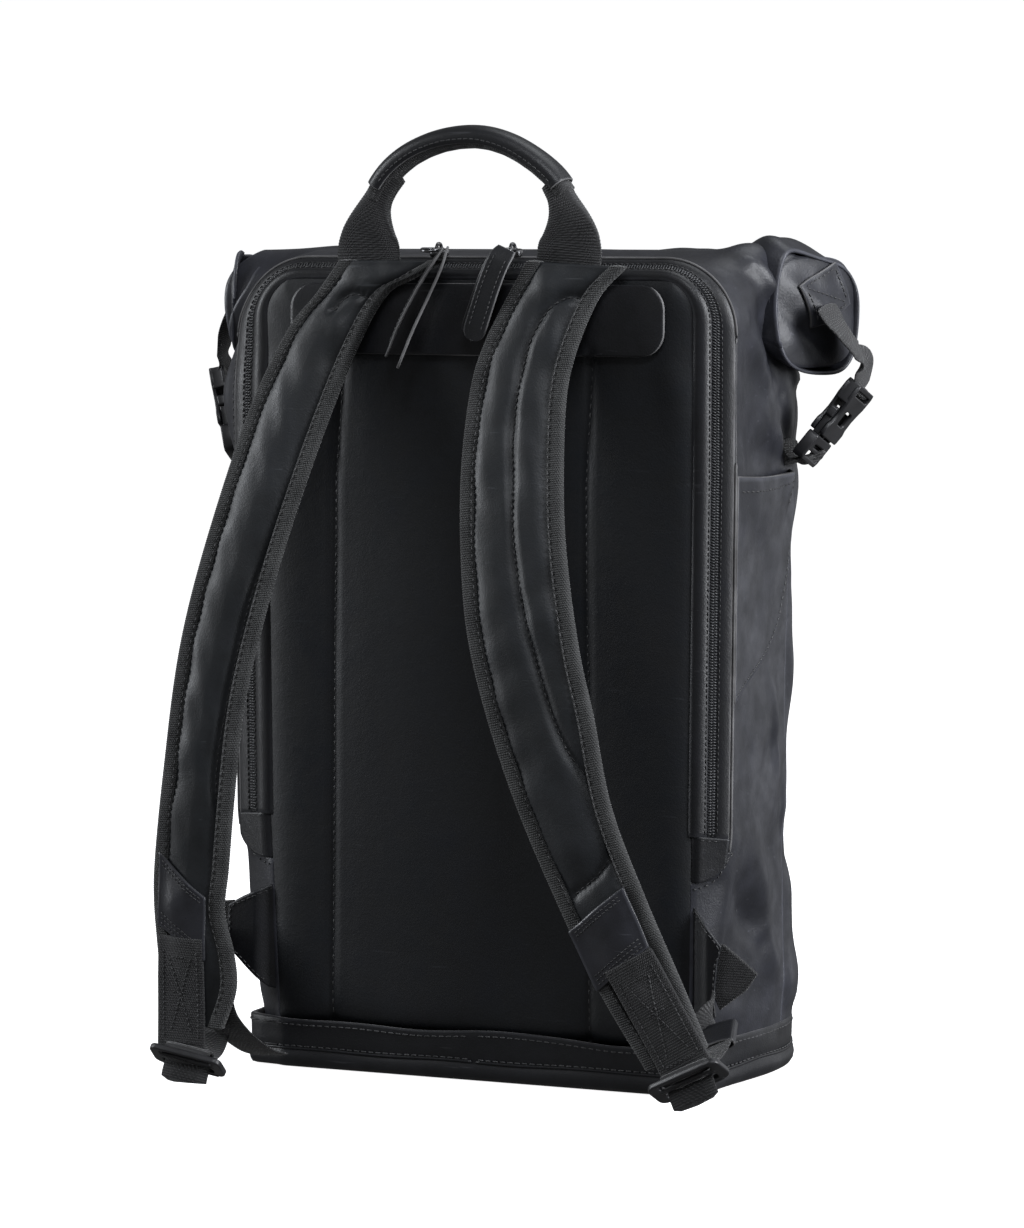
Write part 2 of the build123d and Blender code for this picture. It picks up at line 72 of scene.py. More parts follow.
# ---- the bag's own dimensions --------------------------------------------------------------------
BASE_HALF, MID_HALF, TOP_HALF = 130.0, 143.0, 145.0
BAND_TOP, MID_Z, SHOULDER_Z = 28.0, 142.0, 340.0
PANEL_TOP, PANEL_CORNER = 453.0, 40.0
BEVEL_BASE, BEVEL_SIDE, BEVEL_TOP = 5.0, 18.0, 9.0
PANEL_Y, SEAM_Y = -70.0, -56.0
SIDE_SEAM_Y = 29.0
ROLL_Y, ROLL_Z, ROLL_RADIUS = 22.0, 428.0, 29.0
BODY_TOP = 402.0
LEATHER = 2.0
WEB_THICK, WEB_RIB, BINDING_RIB = 1.9, 1.4, 1.25


# ---- small numeric tools -------------------------------------------------------------------------
def ease(value):
    """Smooth step from 0 to 1."""
    value = np.clip(value, 0.0, 1.0)
    return value * value * (3 - 2 * value)


def bump(value, centre, width):
    """Bell of height 1."""
    return np.exp(-(((value - centre) / width) ** 2))


def unit(vectors):
    """Vectors of length 1."""
    return vectors / np.maximum(np.linalg.norm(vectors, axis=-1, keepdims=True), 1e-9)


def lengths(line):
    """Distance of each point from the start of a line, along it."""
    return np.concatenate([[0], np.cumsum(np.linalg.norm(np.diff(line, axis=0), axis=1))])


def oval(angle, power_u, power_v):
    """Unit section of a band or bar: the higher the powers, the squarer its sides."""
    c, s = np.cos(angle), np.sin(angle)
    return np.sign(c) * np.abs(c) ** (2 / power_u), np.sign(s) * np.abs(s) ** (2 / power_v)


def smooth_line(points, count):
    """A smooth line through given points, resampled at even steps of length."""
    points = np.array(points, float)
    padded = np.vstack([2 * points[0] - points[1], points, 2 * points[-1] - points[-2]])
    fine = []
    for i in range(len(points) - 1):
        a, b, c, d = padded[i:i + 4]
        t = np.linspace(0, 1, 24, endpoint=False)[:, None]
        fine.append(0.5 * (2 * b + (c - a) * t + (2 * a - 5 * b + 4 * c - d) * t**2
                           + (3 * b - a - 3 * c + d) * t**3))
    fine = np.vstack(fine + [points[-1:]])
    steps = lengths(fine)
    wanted = np.linspace(0, steps[-1], count)
    return np.stack([np.interp(wanted, steps, fine[:, k]) for k in range(points.shape[1])], 1)


def waves(points, wavelength, seed):
    """Smooth random field, about -1 to 1, from a few sine waves."""
    count = 8
    source = np.random.default_rng(seed)
    total = np.zeros(points.shape[:-1])
    for _ in range(count):
        direction = unit(source.normal(size=points.shape[-1]))
        reach = TAU / (wavelength * source.uniform(0.7, 1.6))
        total += np.sin(points @ direction * reach + source.uniform(0, TAU))
    return total / math.sqrt(count)


def folds(a, b, creases):
    """Sum of soft ridges, each along a line: (a0, b0, a1, b1, width, height)."""
    total = 0.0
    for a0, b0, a1, b1, width, height in creases:
        da, db = a1 - a0, b1 - b0
        along = np.clip(((a - a0) * da + (b - b0) * db) / (da * da + db * db), 0, 1)
        off = np.hypot(a - a0 - along * da, b - b0 - along * db)
        swell = 0.35 + 0.65 * np.sin(math.pi * np.clip(along, 0.08, 0.92))
        total = total + height * np.exp(-((off / width) ** 2)) * swell
    return total


def grid_normals(points):
    """Unit normals of a grid of points, along rows x columns."""
    return unit(np.cross(np.gradient(points, axis=0), np.gradient(points, axis=1)))


# ---- bag surface functions -----------------------------------------------------------------------
def half_width(z):
    """Half width of the bag at the seam, at height z."""
    low = BASE_HALF + (MID_HALF - BASE_HALF) * (z - BAND_TOP) / (MID_Z - BAND_TOP)
    high = MID_HALF + (TOP_HALF - MID_HALF) * np.clip((z - MID_Z) / (SHOULDER_Z - MID_Z), 0, 1)
    return np.where(z < MID_Z, low, high)


def bevel(z):
    """How far the back panel stands inside the seam at height z."""
    return BEVEL_SIDE + (BEVEL_BASE - BEVEL_SIDE) * np.clip((MID_Z - z) / (MID_Z - BAND_TOP), 0, 1)


def arch_line(share, top=None, corner=None, bottom=BAND_TOP):
    """Points (x, z) up the left side, over the top and down the right side.

    share 0 is the seam and 1 the edge of the back panel.
    """
    top = PANEL_TOP - share * BEVEL_TOP if top is None else top
    corner = PANEL_CORNER - share * BEVEL_SIDE if corner is None else corner
    z = np.linspace(bottom, top - corner, 120)
    x = half_width(z) - share * bevel(z)
    angle = np.linspace(0, math.pi / 2, 34)[1:]
    corner_x = x[-1] - corner + corner * np.cos(angle)
    corner_z = top - corner + corner * np.sin(angle)
    run = np.linspace(corner_x[-1], -corner_x[-1], 96)[1:-1]
    right = np.stack([np.concatenate([x, corner_x]), np.concatenate([z, corner_z])], 1)
    left = right[::-1] * [-1, 1]
    return np.vstack([left[::-1], np.stack([-run, np.full(len(run), top)], 1), right[::-1]])


def panel_half(z):
    """Half width of the back panel at height z."""
    top, corner = PANEL_TOP - BEVEL_TOP, PANEL_CORNER - BEVEL_SIDE
    inside = np.clip((z - top + corner) / corner, 0, 1)
    return half_width(z) - bevel(z) - corner + corner * np.sqrt(np.maximum(1 - inside**2, 0))


CHANNELS = {
    "left": [(-89, 30), (-88, 120), (-87, 240), (-86, 330), (-80, 402)],
    "right": [(66, 30), (66, 120), (65, 240), (64, 330), (68, 402)],
}


def channel_x(side, z):
    """Where the sewn channel of one half of the back panel runs at height z."""
    line = np.array(CHANNELS[side], float)
    return np.interp(z, line[:, 1], line[:, 0])


def panel_y(x, z):
    """Depth of the back panel's padded face."""
    edge = np.minimum(panel_half(z) - np.abs(x), (PANEL_TOP - BEVEL_TOP) - z)
    edge = np.minimum(edge, (z - BAND_TOP) * 1.6 + 2)
    rise = 4.6 * (1 - np.exp(-np.maximum(edge, 0) / 7.0))
    for side in CHANNELS:
        away = x - channel_x(side, z)
        groove = ease((410 - z) / 16)
        rise = rise - groove * (1.5 * bump(away, 0, 2.4) + 1.3 * bump(away, 0, 13))
    place = np.stack(np.broadcast_arrays(x, z), -1)
    rise = rise + 0.5 * waves(place * [1, 0.45], 62, 3) * ease(edge / 24)
    rise = rise + folds(x, z, [(112, 402, 118, 372, 9, 1.0), (-60, 60, -40, 190, 26, 0.8),
                               (10, 330, 30, 180, 34, -1.0), (96, 60, 118, 130, 12, 0.8)])
    return PANEL_Y + 3.0 - rise


def side_x(y, z):
    """Half width of the bag's side at depth y and height z."""
    low = (MID_HALF - BASE_HALF) * np.clip((MID_Z - z) / (MID_Z - BAND_TOP), 0, 1)
    return half_width(z) + 0.86 * low * ease((y - SEAM_Y) / 80)


SIDE_CREASES = {
    "right": [(-18, 450, 4, 428, 5, 3.4), (4, 428, 28, 388, 5, 4.2), (12, 438, 29, 404, 4.5, -4.6),
              (-40, 418, -12, 392, 9, 2.2), (-14, 420, 8, 380, 7, -2.4), (-30, 372, 2, 352, 11, 2.0),
              (10, 374, 24, 344, 7, -2.6), (-48, 330, -6, 300, 22, 1.2), (6, 214, 26, 150, 7, 2.2),
              (18, 190, 28, 120, 5, -2.2), (-20, 128, 8, 92, 12, 2.4), (-34, 108, -4, 76, 8, -2.4),
              (0, 82, 26, 52, 9, 2.0), (-40, 190, -30, 110, 16, 1.6), (-8, 170, 20, 196, 12, -1.8)],
    "left": [(-44, 398, -10, 350, 14, 2.4), (-30, 420, -20, 380, 9, -2.0), (-40, 344, -44, 300, 10, 2.4),
             (-20, 190, -34, 120, 12, 2.0), (-46, 96, -30, 50, 10, 2.0), (0, 160, 20, 90, 9, -2.2),
             (4, 370, 24, 330, 8, 2.0)],
}


def side_relief(side, y, z):
    """How far the soft leather of a side stands out, with its sags and folds."""
    fade = ease((y - SEAM_Y) / 12) * ease((z - BAND_TOP) / 14)
    place = np.stack(np.broadcast_arrays(y * 1.0, z * 0.62), -1)
    seed = 11 if side == "right" else 12
    relief = (1.3 * waves(place, 70, seed) + 0.45 * waves(place, 30, seed + 2)
              + 0.15 * waves(place, 13, seed + 4))
    relief = relief + 1.9 * folds(y, z, SIDE_CREASES[side])
    relief = relief * (1 - 0.55 * ease((y - 6) / 22) * ease((345 - z) / 40))
    relief = relief + 3.0 * bump(z, 372, 26) * ease((y + 40) / 50)
    if side == "left":
        relief = relief + 9.5 * bump(z, 370, 30) * (1 - ease((y + 14) / 40))
    return relief * fade


def front_y(z):
    """Depth of the front wall at height z: full at the base, sunk in the middle, full at the top."""
    heights = [2, 28, 60, 95, 143, 200, 240, 273, 300, 326, 352, 372, 386, 402]
    depths = [80, 80, 76, 66, 53, 49, 50, 48, 54, 61, 60, 62, 56, 40]
    return np.interp(z, heights, depths)


# ---- mesh making ---------------------------------------------------------------------------------
def finish_mesh(name, verts, faces, materials, indices=None, flow=None, wear=None):
    """An object from vertices in millimetres, with its material slots and its flow and wear attributes."""
    mesh = bpy.data.meshes.new(name)
    mesh.from_pydata((np.asarray(verts, float).reshape(-1, 3) * MM).tolist(), [], [list(f) for f in faces])
    for material in materials:
        mesh.materials.append(material)
    if indices is not None:
        mesh.polygons.foreach_set("material_index", np.asarray(indices, np.int32))
    mesh.polygons.foreach_set("use_smooth", np.ones(len(mesh.polygons), bool))
    if flow is not None:
        layer = mesh.attributes.new("flow", "FLOAT_VECTOR", "POINT")
        full = np.zeros((len(mesh.vertices), 3), np.float32)
        full[:, :2] = np.asarray(flow).reshape(-1, 2)
        layer.data.foreach_set("vector", full.ravel())
    if wear is not None:
        layer = mesh.attributes.new("wear", "FLOAT", "POINT")
        layer.data.foreach_set("value", np.asarray(wear, np.float32).ravel())
    mesh.validate()
    mesh.update()
    work = bmesh.new()
    work.from_mesh(mesh)
    bmesh.ops.recalc_face_normals(work, faces=work.faces)
    work.to_mesh(mesh)
    work.free()
    obj = bpy.data.objects.new(name, mesh)
    bpy.context.scene.collection.objects.link(obj)
    return obj


def lattice(rows, cols, start=0, wrap=False, flip=False):
    """Quads of a grid whose vertices are numbered row by row."""
    r = np.arange(rows - 1)[:, None]
    c = np.arange(cols if wrap else cols - 1)[None, :]
    nxt = (c + 1) % cols
    quads = np.stack([r * cols + c, r * cols + nxt, (r + 1) * cols + nxt, (r + 1) * cols + c], -1)
    quads = quads.reshape(-1, 4)
    return (quads[:, ::-1] if flip else quads) + start


def flow_of(points):
    """Distance along rows and columns of a grid, in millimetres."""
    down = np.concatenate([np.zeros((1, points.shape[1])),
                           np.cumsum(np.linalg.norm(np.diff(points, axis=0), axis=2), axis=0)])
    over = np.concatenate([np.zeros((points.shape[0], 1)),
                           np.cumsum(np.linalg.norm(np.diff(points, axis=1), axis=2), axis=1)], axis=1)
    return np.stack([over, down], -1)


EDGE_ROUND = 0.35


def border_of(rows, cols):
    """(row, column) of a grid's border, once round."""
    return ([(0, c) for c in range(cols)] + [(r, cols - 1) for r in range(1, rows)]
            + [(rows - 1, c) for c in range(cols - 2, -1, -1)] + [(r, 0) for r in range(rows - 2, 0, -1)])


def sheet_mesh(name, points, thick, face, edge=None, normals=None, edge_wear=1.0):
    """A sheet of even thickness with a rounded cut edge; points are on its outer face."""
    points = np.asarray(points, float)
    rows, cols = points.shape[:2]
    normals = grid_normals(points) if normals is None else normals
    inner = points - normals * thick
    ring = border_of(rows, cols)
    index = np.array([r * cols + c for r, c in ring])
    count = rows * cols
    centre_in = np.array([points[min(max(r, 1), rows - 2), min(max(c, 1), cols - 2)] for r, c in ring])
    border = np.array([points[r, c] for r, c in ring])
    border_inner = np.array([inner[r, c] for r, c in ring])
    outward = unit(border - centre_in)
    middle = (border + border_inner) / 2 + outward * thick * EDGE_ROUND
    verts = np.vstack([points.reshape(-1, 3), inner.reshape(-1, 3), middle])
    front = lattice(rows, cols, flip=True)
    back = lattice(rows, cols, start=count)
    size = len(ring)
    here = np.arange(size)
    after = (here + 1) % size
    mid = 2 * count + here
    mid_after = 2 * count + after
    rim_out = np.stack([index[here], index[after], mid_after, mid], 1)
    rim_in = np.stack([mid, mid_after, index[after] + count, index[here] + count], 1)
    faces = np.vstack([front, back, rim_out, rim_in])
    indices = np.concatenate([np.zeros(len(front) + len(back), int), np.full(2 * size, 1 if edge else 0)])
    flow = flow_of(points).reshape(-1, 2)
    flow = np.vstack([flow, flow, flow[index]])
    wear = np.zeros(len(verts))
    wear[index] = edge_wear
    wear[2 * count:] = edge_wear
    materials = [face, edge] if edge else [face]
    return finish_mesh(name, verts, faces, materials, indices, flow, wear)


def loft_mesh(name, rings, material, caps=True):
    """Closed rings joined along a line, with rounded caps."""
    rings = np.asarray(rings, float)
    rows, cols = rings.shape[:2]
    verts = rings.reshape(-1, 3)
    faces = [tuple(q) for q in lattice(rows, cols, wrap=True)]
    flow = flow_of(rings).reshape(-1, 2)
    if caps:
        for r, flip in ((0, False), (rows - 1, True)):
            neighbour = rings[1] if r == 0 else rings[-2]
            centre = rings[r].mean(0)
            outward = unit(centre - neighbour.mean(0))
            spread = np.linalg.norm(rings[r] - centre, axis=1).mean()
            inset = centre + (rings[r] - centre) * 0.72 + outward * spread * 0.16
            start = len(verts)
            verts = np.vstack([verts, inset, [centre + outward * spread * 0.22]])
            flow = np.vstack([flow, flow[r * cols:(r + 1) * cols], flow[r * cols:r * cols + 1]])
            for c in range(cols):
                n = (c + 1) % cols
                quad = (r * cols + c, start + c, start + n, r * cols + n)
                tri = (start + c, start + cols, start + n)
                faces.append(quad[::-1] if flip else quad)
                faces.append(tri[::-1] if flip else tri)
    return finish_mesh(name, verts, faces, [material], flow=flow, wear=np.zeros(len(verts)))


def frames_along(line, up):
    """Tangents, sides and normals along a line, the normals kept close to up."""
    tangent = unit(np.gradient(line, axis=0))
    up = np.broadcast_to(np.asarray(up, float), line.shape)
    side = unit(np.cross(tangent, up))
    return tangent, side, np.cross(side, tangent)


def tube_mesh(name, line, radius, material, around=10, up=(0, 0, 1)):
    """A round cord along a line."""
    line = np.asarray(line, float)
    _, side, normal = frames_along(line, up)
    angle = np.arange(around) / around * TAU
    rings = line[:, None] + radius * (np.cos(angle)[None, :, None] * side[:, None]
                                      + np.sin(angle)[None, :, None] * normal[:, None])
    return loft_mesh(name, rings, material)


BAND_AROUND = 28


def band_rings(line, side, normal, width, thick):
    """Cross-sections of a flat band with rounded edges."""
    angle = np.arange(BAND_AROUND) / BAND_AROUND * TAU
    u, v = oval(angle, 5.0, 2.6)
    width = np.broadcast_to(np.asarray(width, float), (len(line),))[:, None, None] / 2
    thick = np.broadcast_to(np.asarray(thick, float), (len(line),))[:, None, None] / 2
    return (line[:, None] + width * u[None, :, None] * side[:, None]
            + thick * v[None, :, None] * normal[:, None])


def lay_weave(obj, across, steps):
    """Runs the weave along a lofted band: across places each vertex of a ring, steps each ring."""
    values = np.zeros((len(obj.data.vertices), 3), np.float32)
    count = len(across) * len(steps)
    values[:count, 0] = np.tile(across, len(steps))
    values[:count, 1] = np.repeat(steps, len(across))
    obj.data.attributes["flow"].data.foreach_set("vector", values.ravel())


def webbing_mesh(name, rings, steps, half):
    """Webbing through rings of band_rings; half is half its width."""
    obj = loft_mesh(name, rings, WEBBING)
    lay_weave(obj, np.cos(np.arange(BAND_AROUND) / BAND_AROUND * TAU) * half, steps)
    return obj


def band_mesh(name, line, up, width, thick, rib=0.0):
    """Webbing along a line, with the flat side towards up, and fine cross ribs."""
    line = np.asarray(line, float)
    _, side, normal = frames_along(line, up)
    steps = lengths(line)
    thick = np.broadcast_to(np.asarray(thick, float), (len(line),)) + rib * np.sin(steps / 2.0 * TAU)
    return webbing_mesh(name, band_rings(line, side, normal, width, thick), steps, np.mean(width) / 2)


def ribbed(steps):
    """Thickness of ribbed webbing at distances along it."""
    return WEB_THICK + 0.12 * np.sin(steps / WEB_RIB * TAU)


def guided(line, start, end, share):
    """Tangents, directions across and normals of webbing that turns from one direction across to another."""
    tangent = unit(np.gradient(line, axis=0))
    guide = start * (1 - share) + end * share
    guide = unit(guide - tangent * (guide * tangent).sum(1, keepdims=True))
    return tangent, guide, unit(np.cross(guide, tangent))


def stitch_mesh(name, runs, pitch=4.4, length=3.1, radius=0.5):
    """Thread stitches along runs of (points, normals): each a small capsule half sunk in the surface."""
    rings, around = 5, 6
    angle = np.arange(around) / around * TAU
    profile = [(-0.5, 0.35), (-0.36, 0.9), (0.0, 1.0), (0.36, 0.9), (0.5, 0.35)]
    verts, faces = [], []
    for line, normals in runs:
        line, normals = np.asarray(line, float), np.asarray(normals, float)
        steps = lengths(line)
        for place in np.arange(pitch * 0.6, steps[-1] - pitch * 0.4, pitch):
            centre = np.array([np.interp(place, steps, line[:, k]) for k in range(3)])
            ahead = np.array([np.interp(place + 0.8, steps, line[:, k]) for k in range(3)])
            behind = np.array([np.interp(place - 0.8, steps, line[:, k]) for k in range(3)])
            normal = unit(np.array([np.interp(place, steps, normals[:, k]) for k in range(3)]))
            tangent = unit(ahead - behind)
            side = unit(np.cross(tangent, normal))
            start = len(verts)
            for along, size in profile:
                sink = 0.10 - 0.45 * (abs(along) * 2) ** 3
                middle = centre + tangent * along * length + normal * radius * sink
                verts.extend(middle + radius * size * (np.cos(a) * side + np.sin(a) * normal) for a in angle)
            for r in range(rings - 1):
                for c in range(around):
                    n = (c + 1) % around
                    faces.append((start + r * around + c, start + (r + 1) * around + c,
                                  start + (r + 1) * around + n, start + r * around + n))
            faces.append(tuple(start + c for c in range(around)))
            faces.append(tuple(start + (rings - 1) * around + c for c in reversed(range(around))))
    return finish_mesh(name, verts, faces, [THREAD])


def facing_wearer(line):
    """A run of stitches sewn into a face that looks towards the wearer."""
    return line, np.tile([0, -1.0, 0], (len(line), 1))


def moulded(name, loops, thick, origin, across, up, material, radius=0.6):
    """A moulded plastic or metal plate with holes: loops are closed (u, v) outlines, the first outside."""
    curve = bpy.data.curves.new(name, "CURVE")
    curve.dimensions = "2D"
    curve.fill_mode = "BOTH"
    curve.extrude = max(thick / 2 - radius, 0.01) * MM
    curve.bevel_depth = radius * MM
    curve.bevel_resolution = 2
    curve.offset = -radius * MM
    for loop in loops:
        spline = curve.splines.new("POLY")
        spline.points.add(len(loop) - 1)
        for point, (u, v) in zip(spline.points, loop):
            point.co = (u * MM, v * MM, 0, 1)
        spline.use_cyclic_u = True
    holder = bpy.data.objects.new(name + "_curve", curve)
    bpy.context.scene.collection.objects.link(holder)
    bpy.context.view_layer.update()
    mesh = bpy.data.meshes.new_from_object(holder)
    bpy.data.objects.remove(holder)
    across = Vector(across).normalized()
    face = across.cross(Vector(up)).normalized()
    up = face.cross(across)
    turn = Matrix((across, up, face)).transposed().to_4x4()
    mesh.transform(Matrix.Translation(Vector(origin) * MM) @ turn)
    mesh.materials.clear()
    mesh.materials.append(material)
    mesh.name = name
    obj = bpy.data.objects.new(name, mesh)
    bpy.context.scene.collection.objects.link(obj)
    return obj


def rounded(width, height, corner, centre=(0, 0), steps=6):
    """Outline of a rectangle with round corners."""
    loop = []
    for k, (sx, sy) in enumerate(((1, 1), (-1, 1), (-1, -1), (1, -1))):
        for step in range(steps + 1):
            angle = (k + step / steps) * math.pi / 2
            loop.append((centre[0] + sx * (width / 2 - corner) + corner * math.cos(angle),
                         centre[1] + sy * (height / 2 - corner) + corner * math.sin(angle)))
    return loop


def joined(name, parts):
    """One object from several."""
    bpy.ops.object.select_all(action="DESELECT")
    for part in parts:
        part.select_set(True)
    bpy.context.view_layer.objects.active = parts[0]
    bpy.ops.object.join()
    parts[0].name = name
    parts[0].data.name = name
    return parts[0]


SHEET_LEAST, THREAD_WIDE = 10.0, 4.0


def cloth(grid):
    """Works out how wide and long a leather, webbing or tape piece's grid is when laid flat, and does nothing
    more with it.
    """
    steps = flow_of(np.asarray(grid, float))
    wide, long = sorted((steps[:, -1, 0].mean(), steps[-1, :, 1].mean()))
    if wide < THREAD_WIDE:  # strips that show only a thread's width of tape
        return


def settle(obj, body, slot, *nodes):
    """Puts a finished piece on its body and hides the CAD nodes it stands for; its finish slot is not used."""
    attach(obj, body)
    if nodes:
        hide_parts(*nodes)
    return obj


def sew(name, runs, body, slot, **stitch):
    """Thread stitches on a body; the finish slot of the piece they hold is not used."""
    settle(stitch_mesh(name, runs, **stitch), body, slot)


# ---- materials -----------------------------------------------------------------------------------
def shader(name):
    """A new material with its node tree, Principled shader and a small helper to add nodes."""
    material = bpy.data.materials.new(name)
    material.use_nodes = True
    tree = material.node_tree
    principled = tree.nodes["Principled BSDF"]

    def add(kind, inputs=None, **settings):
        node = tree.nodes.new(kind)
        for key, value in settings.items():
            setattr(node, key, value)
        for key, value in (inputs or {}).items():
            if isinstance(value, bpy.types.NodeSocket):
                tree.links.new(value, node.inputs[key])
            else:
                node.inputs[key].default_value = value
        return node

    def wire(value, key):
        tree.links.new(value, principled.inputs[key])

    return material, principled, add, wire


def ramp(add, value, stops):
    """Colour ramp with (position, colour or grey) stops."""
    node = add("ShaderNodeValToRGB", {"Fac": value})
    elements = node.color_ramp.elements
    while len(elements) < len(stops):
        elements.new(0.5)
    for element, (position, colour) in zip(elements, stops):
        element.position = position
        element.color = (*colour, 1) if isinstance(colour, tuple) else (colour, colour, colour, 1)
    return node.outputs["Color"]


def leather(name, dark, light, rough=0.5, grain=1.0, gloss=0.0, scuff=0.5):
    """Waxed leather: fine pebbled grain, soft mottling, faint scuffs and paler worn edges."""
    material, principled, add, wire = shader(name)
    place = add("ShaderNodeTexCoord").outputs["Object"]
    mottle = add("ShaderNodeTexNoise", {"Vector": place, "Scale": 16.0, "Detail": 6.0, "Roughness": 0.62})
    cloud = add("ShaderNodeTexNoise", {"Vector": place, "Scale": 70.0, "Detail": 4.0, "Roughness": 0.6})
    mixed = add("ShaderNodeMath", {0: mottle.outputs["Fac"], 1: cloud.outputs["Fac"]}, operation="MULTIPLY")
    tone = ramp(add, mixed.outputs[0], [(0.16, dark), (0.40, light)])
    stretched = add("ShaderNodeMapping", {"Vector": place, "Rotation": (0.4, 0.9, 0.7),
                                          "Scale": (30, 260, 420)})
    scratch = add("ShaderNodeTexNoise", {"Vector": stretched.outputs[0], "Scale": 1.0, "Detail": 3.0})
    marks = ramp(add, scratch.outputs["Fac"], [(0.68, 0.0), (0.76, scuff)])
    wear = add("ShaderNodeAttribute", attribute_name="wear").outputs["Fac"]
    rubbed = add("ShaderNodeMath", {0: wear, 1: cloud.outputs["Fac"]}, operation="MULTIPLY")
    amount = add("ShaderNodeMath", {0: rubbed.outputs[0], 1: marks}, operation="MAXIMUM")
    pale = tuple(min(1.0, 2.6 * v + 0.018) for v in light)
    colour = add("ShaderNodeMix", {0: amount.outputs[0], 6: tone, 7: (*pale, 1)}, data_type="RGBA")
    wire(colour.outputs[2], "Base Color")
    roughness = add("ShaderNodeMapRange", {"Value": mixed.outputs[0], "From Min": 0.12, "From Max": 0.42,
                                           "To Min": rough + 0.09, "To Max": rough - 0.07})
    wire(roughness.outputs[0], "Roughness")
    pebble = add("ShaderNodeTexVoronoi", {"Vector": place, "Scale": 950.0 / grain}, feature="SMOOTH_F1")
    pore = add("ShaderNodeTexNoise", {"Vector": place, "Scale": 1500.0 / grain, "Detail": 3.0})
    height = add("ShaderNodeMath", {0: pebble.outputs["Distance"], 1: pore.outputs["Fac"]}, operation="ADD")
    fine = add("ShaderNodeBump", {"Height": height.outputs[0], "Strength": 0.32, "Distance": 0.0002})
    broad = add("ShaderNodeBump", {"Height": cloud.outputs["Fac"], "Strength": 0.35, "Distance": 0.0009,
                                   "Normal": fine.outputs[0]})
    wire(broad.outputs[0], "Normal")
    principled.inputs["Specular IOR Level"].default_value = 0.42
    principled.inputs["Coat Weight"].default_value = gloss
    principled.inputs["Coat Roughness"].default_value = 0.24
    return material


def woven(name, dark, light, pitch, rough=0.72):
    """Ribbed webbing: cross ribs along its length and a fine twill over them."""
    material, principled, add, wire = shader(name)
    flow = add("ShaderNodeAttribute", attribute_name="flow").outputs["Vector"]
    parts = add("ShaderNodeSeparateXYZ", {0: flow})
    beside, along = parts.outputs["X"], parts.outputs["Y"]

    def maths(operation, *values):
        return add("ShaderNodeMath", dict(enumerate(values)), operation=operation).outputs[0]

    def wave(value, period, phase=None):
        scaled = maths("MULTIPLY", value, TAU / period)
        if phase is not None:
            scaled = maths("ADD", scaled, phase)
        return maths("MULTIPLY_ADD", maths("SINE", scaled), 0.5, 0.5)

    rib = wave(along, pitch)
    warp = wave(beside, 1.1, maths("MULTIPLY", along, TAU / pitch / 2))
    weave = maths("MULTIPLY", rib, warp)
    place = add("ShaderNodeTexCoord").outputs["Object"]
    fuzz = add("ShaderNodeTexNoise", {"Vector": place, "Scale": 900.0, "Detail": 3.0})
    mottle = add("ShaderNodeTexNoise", {"Vector": place, "Scale": 60.0, "Detail": 4.0})
    level = maths("MULTIPLY_ADD", weave, 0.6, mottle.outputs["Fac"])
    wire(ramp(add, level, [(0.30, dark), (0.95, light)]), "Base Color")
    height = maths("MULTIPLY_ADD", weave, 0.9, fuzz.outputs["Fac"])
    relief = add("ShaderNodeBump", {"Height": height, "Strength": 0.8, "Distance": 0.0005})
    wire(relief.outputs[0], "Normal")
    shade = add("ShaderNodeMapRange", {"Value": fuzz.outputs["Fac"], "To Min": rough - 0.1,
                                       "To Max": rough + 0.1})
    wire(shade.outputs[0], "Roughness")
    principled.inputs["Sheen Weight"].default_value = 0.25
    principled.inputs["Sheen Roughness"].default_value = 0.4
    principled.inputs["Specular IOR Level"].default_value = 0.35
    return material


def plain(name, dark, light, rough, metal=0.0, grain=400.0, relief=0.1, gloss=0.0):
    """Moulded, cast or spun surface with slight unevenness in tone, gloss and relief."""
    material, principled, add, wire = shader(name)
    place = add("ShaderNodeTexCoord").outputs["Object"]
    fine = add("ShaderNodeTexNoise", {"Vector": place, "Scale": grain, "Detail": 4.0})
    broad = add("ShaderNodeTexNoise", {"Vector": place, "Scale": 45.0, "Detail": 3.0})
    wire(ramp(add, broad.outputs["Fac"], [(0.35, dark), (0.65, light)]), "Base Color")
    shade = add("ShaderNodeMapRange", {"Value": fine.outputs["Fac"], "To Min": rough - 0.08,
                                       "To Max": rough + 0.08})
    wire(shade.outputs[0], "Roughness")
    bumps = add("ShaderNodeBump", {"Height": fine.outputs["Fac"], "Strength": relief, "Distance": 0.0003})
    wire(bumps.outputs[0], "Normal")
    principled.inputs["Metallic"].default_value = metal
    principled.inputs["Coat Weight"].default_value = gloss
    return material


# The shell leather is the bag's black leather with its tone raised for the brightly lit sides: partly its own
# colour, partly painted light.
SHELL = leather("shell_leather", (0.0088, 0.0094, 0.0126), (0.0240, 0.0250, 0.0318), rough=0.43)
# The back panel's copy of the one black leather is made far darker than the shell's: painted shade on the back
# panel.
PANEL_SHADED_LEATHER = leather("panel_leather_painted_shade", (0.0020, 0.0026, 0.0038), (0.0052, 0.0066, 0.0092), rough=0.52, scuff=0.25)
EDGE = leather("edge_leather", (0.0040, 0.0043, 0.0055), (0.0115, 0.0120, 0.0145), rough=0.40, grain=0.8)
